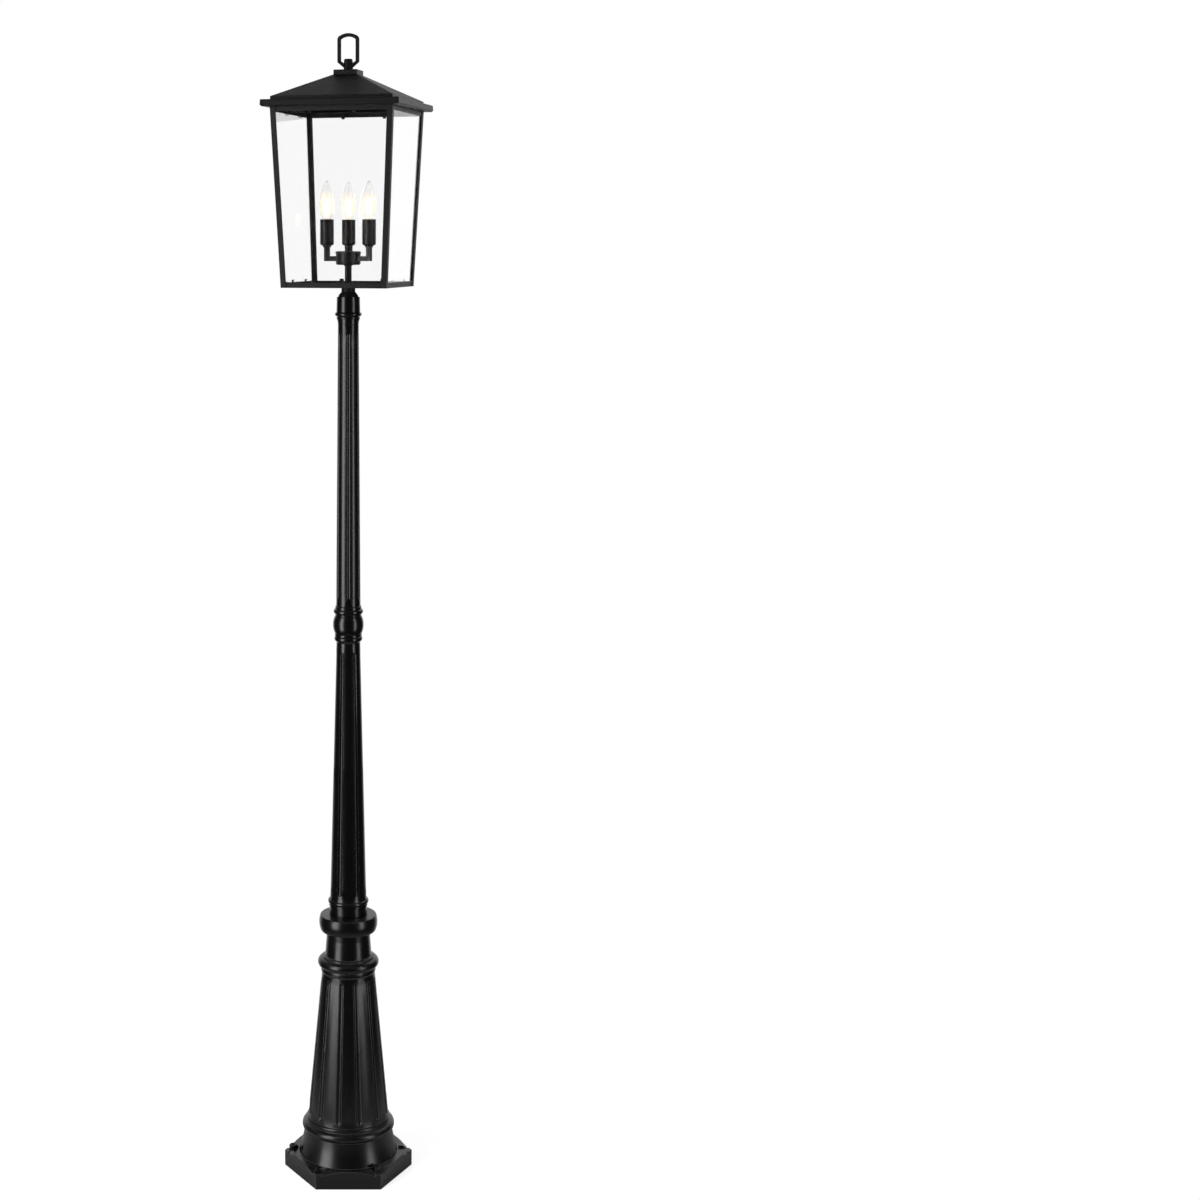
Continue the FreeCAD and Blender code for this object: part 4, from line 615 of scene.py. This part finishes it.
def make_rolled_thread():
    """Points of a turned piece pulled inwards along a screw line, between two heights."""
    tree, given, result = geometry_tree("rolled_thread", {
        "Axis": (VECTOR, (0.0, 0.0, 0.0)), "Low": (FLOAT, 0.0), "High": (FLOAT, 0.01),
        "Pitch": (FLOAT, 0.0025), "Depth": (FLOAT, 0.0005), "Core": (FLOAT, 0.004),
        "Material": ("NodeSocketMaterial", None)})
    place = tree.nodes.new("GeometryNodeInputPosition").outputs[0]
    from_axis = add_node(tree, "ShaderNodeVectorMath", {0: place, 1: given["Axis"]}, operation="SUBTRACT")
    x, y, z = add_node(tree, "ShaderNodeSeparateXYZ", {0: from_axis.outputs[0]}).outputs
    angle = calculate(tree, "ARCTAN2", y, x)
    turns = calculate(tree, "DIVIDE", z, given["Pitch"])
    phase = calculate(tree, "MULTIPLY_ADD", turns, 2 * math.pi, calculate(tree, "MULTIPLY", angle, -1.0))
    wave = calculate(tree, "MULTIPLY_ADD", calculate(tree, "COSINE", phase), -0.5, 0.5)
    low_end = calculate(tree, "ADD", given["Low"], given["Pitch"])
    high_end = calculate(tree, "SUBTRACT", given["High"], given["Pitch"])
    begin = remap(tree, z, given["Low"], low_end, 0.0, 1.0)
    end = remap(tree, z, high_end, given["High"], 1.0, 0.0)
    flat_vector = add_node(tree, "ShaderNodeCombineXYZ", {0: x, 1: y}).outputs[0]
    reach = add_node(tree, "ShaderNodeVectorMath", {0: flat_vector}, operation="LENGTH").outputs["Value"]
    outside = calculate(tree, "GREATER_THAN", reach, given["Core"])
    amount = calculate(tree, "MULTIPLY", calculate(tree, "MULTIPLY", wave, begin),
                       calculate(tree, "MULTIPLY", end, outside))
    inwards = calculate(tree, "MULTIPLY", calculate(tree, "MULTIPLY", amount, given["Depth"]), -1.0)
    direction = add_node(tree, "ShaderNodeVectorMath", {0: flat_vector}, operation="NORMALIZE").outputs[0]
    shift = add_node(tree, "ShaderNodeVectorMath", {0: direction, "Scale": inwards}, operation="SCALE")
    moved = add_node(tree, "GeometryNodeSetPosition", {
        "Geometry": given["Geometry"], "Offset": shift.outputs[0]})
    tree.links.new(real_mesh(tree, moved.outputs[0], given["Material"]), result["Geometry"])
    return tree


def apply_tree(piece, tree, values):
    """Run a Geometry Nodes tree on a piece with these inputs, and keep the result as a plain mesh."""
    modifier = piece.modifiers.new(tree.name, "NODES")
    modifier.node_group = tree
    identifiers = {item.name: item.identifier for item in tree.interface.items_tree
                   if item.item_type == "SOCKET" and item.in_out == "INPUT"}
    for name, value in values.items():
        modifier[identifiers[name]] = value
    graph = bpy.context.evaluated_depsgraph_get()
    made = bpy.data.meshes.new_from_object(piece.evaluated_get(graph))
    piece.modifiers.remove(modifier)
    piece.data = made
    return piece


ROLLED_THREAD = make_rolled_thread()
print("tree:", ROLLED_THREAD.name)

# %% [markdown]
# ## The bulbs' caps
#
# A cap is one thin piece of aluminium: a rolled lip under the glass, a barrel with the thread, and a cone
# down to the contact. The outline could have its thread drawn in, but then it would be a stack of rings and
# not a screw line. So the barrel is plain with a ring every fifth of a millimetre, and the tree bends it.

# %% Roll the bulbs' caps
CAP_LENGTH = 15.0
CAP_PITCH = 2.54
CAP_AROUND = 72
RING_STEP = 0.2


def cap_outline():
    """Up the outside, with many rings on the barrel for the thread, over the lip, and down the inside."""
    barrel, collar, contact, wall = 5.9, 6.9, 3.2, 0.8
    foot, cone, seat = 0.4, 3.5, CAP_LENGTH - 1.5
    rings = int((seat - cone) / RING_STEP)
    outside = [(barrel, cone + (seat - cone) * ring / rings) for ring in range(rings + 1)]
    lip_low, lip_high = (collar - 0.3, seat), (collar - 0.3, CAP_LENGTH)
    lip = arc(lip_low, (collar, (seat + CAP_LENGTH) / 2), lip_high, 6) + [lip_high]
    inside = barrel - wall
    return ([(0, foot), (contact, foot)] + outside + lip
            + [(inside, CAP_LENGTH), (inside, cone), (contact, wall * 2), (0, wall * 2)])


for bulb in BULBS:
    foot = bulb_axis(bulb) - Vector((0, 0, (CAP_DEPTH + CAP_LENGTH) * MM))
    cap = turned_piece(f"bulb_{bulb}_rolled_cap", cap_outline(), foot, CAP_AROUND)
    apply_tree(cap, ROLLED_THREAD, {
        "Axis": foot, "Low": 3.2 * MM, "High": 13.4 * MM, "Pitch": CAP_PITCH * MM, "Depth": 0.55 * MM,
        "Core": 5.5 * MM, "Material": rolled_aluminium})
    soften(cap, 50)
    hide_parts(f"bulb_{bulb}_cap")
    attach(cap, f"bulb_{bulb}")
    print(cap.name, "faces:", len(cap.data.polygons))

# %% [markdown]
# ## What glows inside a bulb
#
# Inside the glass stands a flared glass stem. It holds four upright rods that give the light, and bent
# wires lead to them. A lamp object in each bulb would light the room but show nothing. An emitting surface
# does both: the rods are far brighter than anything round them, which puts warm reflections in the panes
# and warm light on the sleeves.

# %% Make the glow, the wires and the stem's glass
def make_glow():
    """The coating of a rod: brightest in its middle, with fine segments along it."""
    material, tree, surface = start_material("filament_glow")
    segments = add_node(tree, "ShaderNodeTexWave", {
        "Vector": own_place(tree), "Scale": 180.0, "Distortion": 0.2}, bands_direction="Z").outputs["Fac"]
    tree.links.new(blend_colours(tree, segments, (1.0, 0.66, 0.30, 1), (1.0, 0.78, 0.48, 1)),
                   surface.inputs["Emission Color"])
    tree.links.new(blend_colours(tree, segments, (0.95, 0.60, 0.20, 1), (1.0, 0.75, 0.30, 1)),
                   surface.inputs["Base Color"])
    surface.inputs["Emission Strength"].default_value = GLOW_STRENGTH
    surface.inputs["Roughness"].default_value = 0.6
    return material


GLOW_STRENGTH = 34.0
filament_glow = make_glow()
lead_wire = make_metal("lead_wire", (0.62, 0.58, 0.52, 1), (0.42, 0.38, 0.34, 1), (0.2, 0.4), 900.0)
stem_glass = make_glass(
    "stem_glass", tint=((0.97, 0.96, 0.93, 1), (0.95, 0.93, 0.88, 1)), smear_scale=60.0, smear_depth=0.05,
    ior=1.5, mirror=0.5)
print("glow strength:", GLOW_STRENGTH)

# %% [markdown]
# ## Rods and wires round the stem
#
# The four rods and their eight wires are all alike, so one rod and one pair of wires are enough. Each is a
# straight curve with a round section. Geometry Nodes set copies of them on the points of a circle, turned
# to face the middle, and join them to the stem that comes in. Another number of rods is one changed input.

# %% Geometry Nodes: filament mount
def curve_tube(tree, start, end, radius, around):
    """A straight tube between two points. Gives its mesh."""
    line = add_node(tree, "GeometryNodeCurvePrimitiveLine", {"Start": start, "End": end})
    ring = add_node(tree, "GeometryNodeCurvePrimitiveCircle", {"Resolution": around, "Radius": radius})
    tube = add_node(tree, "GeometryNodeCurveToMesh", {
        "Curve": line.outputs[0], "Profile Curve": ring.outputs[0], "Fill Caps": True})
    return tube.outputs[0]


def point_at(tree, x, z):
    """A point straight out from the axis, and up."""
    return add_node(tree, "ShaderNodeCombineXYZ", {0: x, 2: z}).outputs[0]


def join(tree, *meshes):
    """Several meshes as one."""
    together = tree.nodes.new("GeometryNodeJoinGeometry")
    for mesh in meshes:
        tree.links.new(mesh, together.inputs[0])
    return together.outputs[0]


def make_filament_mount():
    """Rods and wires on a circle round an axis, joined to the stem that comes in."""
    tree, given, result = geometry_tree("filament_mount", {
        "Foot": (VECTOR, (0.0, 0.0, 0.0)), "Rods": ("NodeSocketInt", 4), "Circle": (FLOAT, 0.004),
        "Rod Radius": (FLOAT, 0.0008), "Rod Foot": (FLOAT, 0.011), "Rod Top": (FLOAT, 0.043),
        "Wire Radius": (FLOAT, 0.0002), "Hub": (FLOAT, 0.002), "Glow": ("NodeSocketMaterial", None),
        "Wire": ("NodeSocketMaterial", None)})
    points = add_node(tree, "GeometryNodeMeshCircle", {"Vertices": given["Rods"], "Radius": given["Circle"]})
    place = tree.nodes.new("GeometryNodeInputPosition").outputs[0]
    x, y, _ = add_node(tree, "ShaderNodeSeparateXYZ", {0: place}).outputs
    turn = add_node(tree, "ShaderNodeCombineXYZ", {2: calculate(tree, "ARCTAN2", y, x)}).outputs[0]
    rod_foot, rod_top, hub = given["Rod Foot"], given["Rod Top"], given["Hub"]
    low_end, high_end = point_at(tree, 0.0, rod_foot), point_at(tree, 0.0, rod_top)
    rod = curve_tube(tree, low_end, high_end, given["Rod Radius"], 16)
    inwards = calculate(tree, "SUBTRACT", hub, given["Circle"])
    low_bend = point_at(tree, inwards, calculate(tree, "SUBTRACT", rod_foot, WIRE_DROP))
    high_bend = point_at(tree, inwards, calculate(tree, "ADD", rod_top, WIRE_RISE))
    low_wire = curve_tube(tree, low_bend, low_end, given["Wire Radius"], 8)
    high_wire = curve_tube(tree, high_end, high_bend, given["Wire Radius"], 8)

    def round_the_axis(mesh, material):
        """A copy of the mesh on each point, as real mesh that stands at the foot."""
        copies = add_node(tree, "GeometryNodeInstanceOnPoints", {
            "Points": points.outputs[0], "Instance": mesh, "Rotation": turn})
        placed = add_node(tree, "GeometryNodeTransform", {
            "Geometry": copies.outputs[0], "Translation": given["Foot"]})
        return real_mesh(tree, placed.outputs[0], material)

    rods = round_the_axis(rod, given["Glow"])
    wires = round_the_axis(join(tree, low_wire, high_wire), given["Wire"])
    tree.links.new(join(tree, rods, wires, given["Geometry"]), result["Geometry"])
    return tree


WIRE_DROP = 1.6 * MM
WIRE_RISE = 1.2 * MM
FILAMENT_MOUNT = make_filament_mount()
print("tree:", FILAMENT_MOUNT.name)

# %% [markdown]
# ## The glass stem
#
# The stem is drawn from one glass tube, melted shut round the wires: a wide foot, a waist, a pinched collar
# where the rods start, and a rounded head. It is solid and round, so it is turned from an outline like the
# bulb. The tree then puts the rods on it.

# %% Mount the filaments
STEM_TOP = 18.0


def stem_outline():
    """One side of the stem, from the middle of its foot to the top of its head."""
    return [(0, -CAP_DEPTH), (5.2, -CAP_DEPTH), (5.2, -CAP_DEPTH + 0.9), (4.2, -CAP_DEPTH + 1.6),
            (2.9, -CAP_DEPTH + 4.5), (2.4, -CAP_DEPTH + 9.0), (2.3, 4.0), (2.5, 7.6),
            (5.0, 8.8), (5.2, 9.3), (5.2, 9.9), (4.8, 10.3), (2.5, 11.2), (2.0, 13.5), (1.6, 16.2),
            (1.1, 17.4), (0.5, 17.9), (0, STEM_TOP)]


for bulb in BULBS:
    axis = bulb_axis(bulb)
    mount = turned_piece(f"bulb_{bulb}_filament_mount", stem_outline(), axis, 40)
    dress(mount, stem_glass)
    soften(mount, 60)
    apply_tree(mount, FILAMENT_MOUNT, {
        "Foot": axis, "Rods": 4, "Circle": 4.0 * MM, "Rod Radius": 0.8 * MM, "Rod Foot": 10.6 * MM,
        "Rod Top": 43.0 * MM, "Wire Radius": 0.2 * MM, "Hub": 1.2 * MM, "Glow": filament_glow,
        "Wire": lead_wire})
    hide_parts(f"bulb_{bulb}_filament")
    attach(mount, f"bulb_{bulb}")
    print(mount.name, "faces:", len(mount.data.polygons), "materials:", len(mount.data.materials))

# %% [markdown]
# ## Nuts and screws
#
# Three nuts hold the base down, and two pan-head screws go up through the eave into the roof. Linked copies
# would need a place for each by hand. Instead one of each is drawn on the axis, and a Geometry Nodes tree
# sets copies on the points of a circle, turned to face outwards.

# %% Geometry Nodes: ring of fasteners
def make_fastener_ring():
    """Copies of the piece that comes in, on a circle round the lamp's axis."""
    tree, given, result = geometry_tree("fastener_ring", {
        "Count": ("NodeSocketInt", 3), "Circle": (FLOAT, 0.137), "Turn": (FLOAT, 0.0),
        "Height": (FLOAT, 0.0), "Material": ("NodeSocketMaterial", None)})
    index = tree.nodes.new("GeometryNodeInputIndex").outputs[0]
    step = calculate(tree, "DIVIDE", 2 * math.pi, given["Count"])
    angle = calculate(tree, "MULTIPLY_ADD", index, step, given["Turn"])
    x = calculate(tree, "MULTIPLY", calculate(tree, "COSINE", angle), given["Circle"])
    y = calculate(tree, "MULTIPLY", calculate(tree, "SINE", angle), given["Circle"])
    place = add_node(tree, "ShaderNodeCombineXYZ", {0: x, 1: y, 2: given["Height"]}).outputs[0]
    points = add_node(tree, "GeometryNodePoints", {"Count": given["Count"], "Position": place})
    turn = add_node(tree, "ShaderNodeCombineXYZ", {2: angle}).outputs[0]
    copies = add_node(tree, "GeometryNodeInstanceOnPoints", {
        "Points": points.outputs[0], "Instance": given["Geometry"], "Rotation": turn})
    tree.links.new(real_mesh(tree, copies.outputs[0], given["Material"]), result["Geometry"])
    return tree


FASTENER_RING = make_fastener_ring()
print("tree:", FASTENER_RING.name)

# %% [markdown]
# ## The anchor nuts
#
# A hexagonal nut could be a six-sided cylinder with bevels. Turned with a radius that changes with the
# angle it comes out truer: the flats come from dividing by a cosine, and the curved chamfer appears by
# itself where a shallow cone cuts the corners. The bore has its screw line in the same way.

# %% Cut the anchor nuts
NUT_WIDTH = 17.0
NUT_HEIGHT = 13.0
NUT_BORE = 5.0
NUT_PITCH = 1.5
NUT_THREAD = 0.7
NUT_RINGS = 8               # rings of points for each turn of the thread
NUT_MOUTH = (0.9, 0.8)      # how much wider the bore is at its ends, and how far in that goes
NUT_CHAMFERS = (0.3, 0.5)   # slope of the lower and upper cone that cut the corners
ANCHOR_CIRCLE = 137.0
ANCHOR_TURN = math.radians(76.04)


def nut_outline(angle):
    """Up the flats, over the chamfer and back down the threaded bore."""
    from_flat = (math.degrees(angle) % 60) - 30
    side = NUT_WIDTH / 2 / math.cos(math.radians(from_flat))
    crown = NUT_WIDTH / 2 * 0.97
    low, high = ((side - crown) * slope for slope in NUT_CHAMFERS)
    mouth = NUT_BORE + NUT_MOUTH[0]
    rings = int((NUT_HEIGHT - 2 * NUT_MOUTH[1]) / NUT_PITCH * NUT_RINGS)
    bore = []
    for ring in range(rings + 1):
        height = NUT_HEIGHT - NUT_MOUTH[1] - ring * NUT_PITCH / NUT_RINGS
        wave = 0.5 - 0.5 * math.cos(2 * math.pi * height / NUT_PITCH - angle)
        bore.append((NUT_BORE + NUT_THREAD * wave, height))
    return ([(mouth, 0), (crown, 0), (side, low), (side, NUT_HEIGHT - high), (crown, NUT_HEIGHT),
             (mouth, NUT_HEIGHT)] + bore)


nuts = turned_piece("anchor_nuts_cut", nut_outline, Vector((0, 0, 0)), 60)
apply_tree(nuts, FASTENER_RING, {
    "Count": 3, "Circle": ANCHOR_CIRCLE * MM, "Turn": ANCHOR_TURN, "Height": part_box("anchor_nuts")[0].z,
    "Material": post_paint})
soften(nuts, 25)
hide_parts("anchor_nuts")
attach(nuts, "post")
print(nuts.name, "faces:", len(nuts.data.polygons))

# %% [markdown]
# ## The roof screws
#
# The screw heads face down under the eave, where a hand looks for them when a bulb has to be changed. A
# Boolean could cut the cross, but it would leave long slivers on the dome. Here the dome's own points sink
# where the cross is, and the rolled thread shapes the shank.

# %% Cut the roof screws
SCREW_HEAD = 2.4
SCREW_HEAD_RADIUS = 3.7
SCREW_RADIUS = 2.0
SCREW_CIRCLE = 148.5
SCREW_RING_STEP = 0.14
HEAD_RINGS = 16
DOME_HEIGHT = 0.9
CROSS_WIDTH = 0.55
CROSS_REACH = 2.2
CROSS_DEPTH = 1.3
screw_low, screw_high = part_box("roof_screws")
SCREW_LENGTH = (screw_high.z - screw_low.z) / MM - SCREW_HEAD


def screw_outline(angle):
    """From the middle of the domed head, which has a cross in it, to the rim, and up the shank."""
    head = []
    for ring in range(1, HEAD_RINGS + 1):
        radius = SCREW_HEAD_RADIUS * 0.97 * ring / HEAD_RINGS
        dome = -SCREW_HEAD + DOME_HEIGHT * (radius / SCREW_HEAD_RADIUS) ** 2.6
        from_arm = min(abs(math.sin(angle)), abs(math.cos(angle))) * radius
        cut = CROSS_DEPTH if from_arm < CROSS_WIDTH and radius < CROSS_REACH else 0
        head.append((radius, dome + cut * (1 - 0.5 * radius / CROSS_REACH)))
    rings = int(SCREW_LENGTH / SCREW_RING_STEP)
    shank = [(SCREW_RADIUS, SCREW_LENGTH * ring / rings) for ring in range(rings + 1)]
    return ([(0, -SCREW_HEAD + CROSS_DEPTH)] + head + [(SCREW_HEAD_RADIUS, -SCREW_HEAD * 0.55),
            (SCREW_HEAD_RADIUS, 0)] + shank + [(0, SCREW_LENGTH)])


screws = turned_piece("roof_screws_cut", screw_outline, Vector((0, 0, 0)), 64)
apply_tree(screws, ROLLED_THREAD, {
    "Low": 0.3 * MM, "High": SCREW_LENGTH * MM, "Pitch": 1.4 * MM, "Depth": 0.4 * MM, "Core": 1.6 * MM,
    "Material": lantern_paint})
apply_tree(screws, FASTENER_RING, {
    "Count": 2, "Circle": SCREW_CIRCLE * MM, "Turn": 0.0, "Height": screw_low.z + SCREW_HEAD * MM,
    "Material": lantern_paint})
soften(screws, 35)
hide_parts("roof_screws")
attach(screws, "lantern")
print(screws.name, "faces:", len(screws.data.polygons), "shank in mm:", round(SCREW_LENGTH, 2))

# %% [markdown]
# ## The floor
#
# The lamp stands on a pale sheet. A plain white plane would turn grey where the light is weak and would show
# its far edge. So this sheet glows to the camera, still takes the lamp's soft shadow, and fades out into the
# backdrop further away, where no horizon may show. Light Path tells what a ray has met on its way: straight
# from the camera, or through glass only, the sheet glows. Two sheets of real glass take a little of that
# light, so through glass it is made a little brighter.

# %% Lay the floor
FLOOR_RADIUS = 1.6
FLOOR_BELOW = 0.6 * MM
FLOOR_FADE = (0.35, 1.1)    # metres from the axis where the sheet begins and ends to fade
FLOOR_GLOW = 0.62
FLOOR_IN_SHINE = 0.05
BEHIND_GLASS = 1.06


def unbounced(tree):
    """1 for what the camera sees, a little more through glass, and 0 once the ray has bounced off."""
    path = tree.nodes.new("ShaderNodeLightPath").outputs
    seen = calculate(tree, "MAXIMUM", path["Is Camera Ray"],
                     calculate(tree, "MULTIPLY", path["Is Transmission Ray"], BEHIND_GLASS))
    bounces = calculate(tree, "ADD", path["Diffuse Depth"], path["Glossy Depth"])
    return calculate(tree, "MULTIPLY", seen, calculate(tree, "LESS_THAN", bounces, 0.5)), path, bounces


def make_floor_material():
    """White sheet that fades out away from the lamp."""
    material, tree, surface = start_material("floor_sheet")
    output = tree.nodes["Material Output"]
    place = own_place(tree)
    reach = add_node(tree, "ShaderNodeVectorMath", {0: place}, operation="LENGTH").outputs["Value"]
    paper = blend_colours(tree, clouds(tree, place, 40.0, 3.0), (0.84, 0.84, 0.84, 1), (0.88, 0.88, 0.88, 1))
    tree.links.new(paper, surface.inputs["Base Color"])
    surface.inputs["Roughness"].default_value = 0.9
    surface.inputs["Specular IOR Level"].default_value = 0.1
    surface.inputs["Emission Color"].default_value = (1, 1, 1, 1)
    seen, path, _ = unbounced(tree)
    mirrored = calculate(tree, "MULTIPLY", path["Is Glossy Ray"], FLOOR_IN_SHINE)
    glow = calculate(tree, "MAXIMUM", seen, mirrored)
    tree.links.new(calculate(tree, "MULTIPLY", glow, FLOOR_GLOW), surface.inputs["Emission Strength"])
    clear = tree.nodes.new("ShaderNodeBsdfTransparent")
    mix = tree.nodes.new("ShaderNodeMixShader")
    tree.links.new(remap(tree, reach, *FLOOR_FADE, 0.0, 1.0), mix.inputs[0])
    tree.links.new(surface.outputs[0], mix.inputs[1])
    tree.links.new(clear.outputs[0], mix.inputs[2])
    tree.links.new(mix.outputs[0], output.inputs["Surface"])
    return material


def lay_floor():
    """A round sheet just under the lamp. It is stage, not part of the lamp."""
    mesh = bmesh.new()
    bmesh.ops.create_circle(mesh, cap_ends=True, segments=96, radius=FLOOR_RADIUS)
    floor = bpy.data.objects.new("floor", bpy.data.meshes.new("floor"))
    mesh.to_mesh(floor.data)
    mesh.free()
    floor.location.z = -FLOOR_BELOW
    bpy.context.scene.collection.objects.link(floor)
    dress(floor, make_floor_material())


lay_floor()
print("floor radius in m:", FLOOR_RADIUS)

# %% [markdown]
# ## The backdrop
#
# The backdrop is the world's own colour, white to the camera and through glass. Once a ray has bounced off
# the lamp it finds a dim room instead, because a black object in an all-white room would look grey. Only
# shiny faces that look straight back see a white wall there, which gives the roof its pale right slope.
# Glass mirrors sharply, and for a sharp mirror ray that wall is wider, so the side panes stay clear and the
# front one shows no veil.

# %% Hang the backdrop
AMBIENT = 0.32
DARK_ROOM = 0.03
WALL_EDGES = (55, 33)       # degrees from straight back where the wall begins and is fully white
WIDE_WALL = (-0.1, 0.3)     # the same for a sharp mirror ray, as cosines
GLASS_MIRROR = 0.65


def light_the_sky():
    """The world: white to the camera, a dim room with one white wall to what shines."""
    world = bpy.context.scene.world or bpy.data.worlds.new("sky")
    bpy.context.scene.world = world
    world.use_nodes = True
    tree = world.node_tree
    background = tree.nodes["Background"]
    seen, path, bounces = unbounced(tree)
    direction = tree.nodes.new("ShaderNodeTexCoord").outputs["Generated"]
    straight_back = (-math.sin(CAMERA_TURN), math.cos(CAMERA_TURN), 0.0)
    behind = add_node(tree, "ShaderNodeVectorMath", {
        0: direction, 1: straight_back}, operation="DOT_PRODUCT").outputs["Value"]
    outer, inner = (math.cos(math.radians(degrees)) for degrees in WALL_EDGES)
    wall = remap(tree, behind, outer, inner, DARK_ROOM, 1.0)
    mirrored = calculate(tree, "MULTIPLY", path["Is Singular Ray"], path["Is Glossy Ray"])
    mirrored = calculate(tree, "MULTIPLY", mirrored, calculate(tree, "LESS_THAN", bounces, 1.5))
    wide_wall = remap(tree, behind, *WIDE_WALL, 0.0, GLASS_MIRROR)
    wall = calculate(tree, "MAXIMUM", wall, calculate(tree, "MULTIPLY", mirrored, wide_wall))
    shiny = calculate(tree, "MAXIMUM", path["Is Glossy Ray"], path["Glossy Depth"])
    shiny = calculate(tree, "MINIMUM", shiny, 1.0)
    room = calculate(tree, "MULTIPLY_ADD", shiny, calculate(tree, "SUBTRACT", wall, AMBIENT), AMBIENT)
    tree.links.new(calculate(tree, "MAXIMUM", seen, room), background.inputs["Strength"])
    background.inputs["Color"].default_value = (1, 1, 1, 1)


light_the_sky()
print("sky strength for diffuse light:", AMBIENT)

# %% [markdown]
# ## The soft boxes
#
# On black paint nearly all that shows is what it mirrors. Point lamps would give small hot dots. Tall soft
# boxes give long upright stripes, which tell the eye how the flutes and the cone are rounded. A broad one
# stands on the left and a slimmer, weaker one on the right. A third, high up behind, lines the far edges.

# %% Stand the soft boxes
AIM_HEIGHT = 1.5
SOFT_BOXES = {
    "left_box": {"turn": -52, "distance": 2.6, "height": 1.45, "size": (1.15, 3.4), "radiance": 6.0},
    "right_box": {"turn": 53, "distance": 2.8, "height": 1.45, "size": (0.70, 3.4), "radiance": 4.5},
    "rear_box": {"turn": 128, "distance": 3.0, "height": 3.2, "size": (1.2, 1.2), "radiance": 2.5},
}


def soft_box(name, turn, distance, height, size, radiance):
    """A soft box that faces the lamp. turn is its angle from the camera's side, in degrees, rightwards."""
    box = bpy.data.objects.new(name, bpy.data.lights.new(name, "AREA"))
    box.data.shape = "RECTANGLE"
    box.data.size, box.data.size_y = size
    box.data.energy = radiance * math.pi * size[0] * size[1]
    angle = CAMERA_TURN + math.radians(turn)
    box.location = (math.sin(angle) * distance, -math.cos(angle) * distance, height)
    towards = Vector((0, 0, min(height, AIM_HEIGHT))) - box.location
    box.rotation_euler = towards.to_track_quat("-Z", "Y").to_euler()
    box.visible_camera = False
    bpy.context.scene.collection.objects.link(box)
    return box


for name, values in SOFT_BOXES.items():
    soft_box(name, **values)
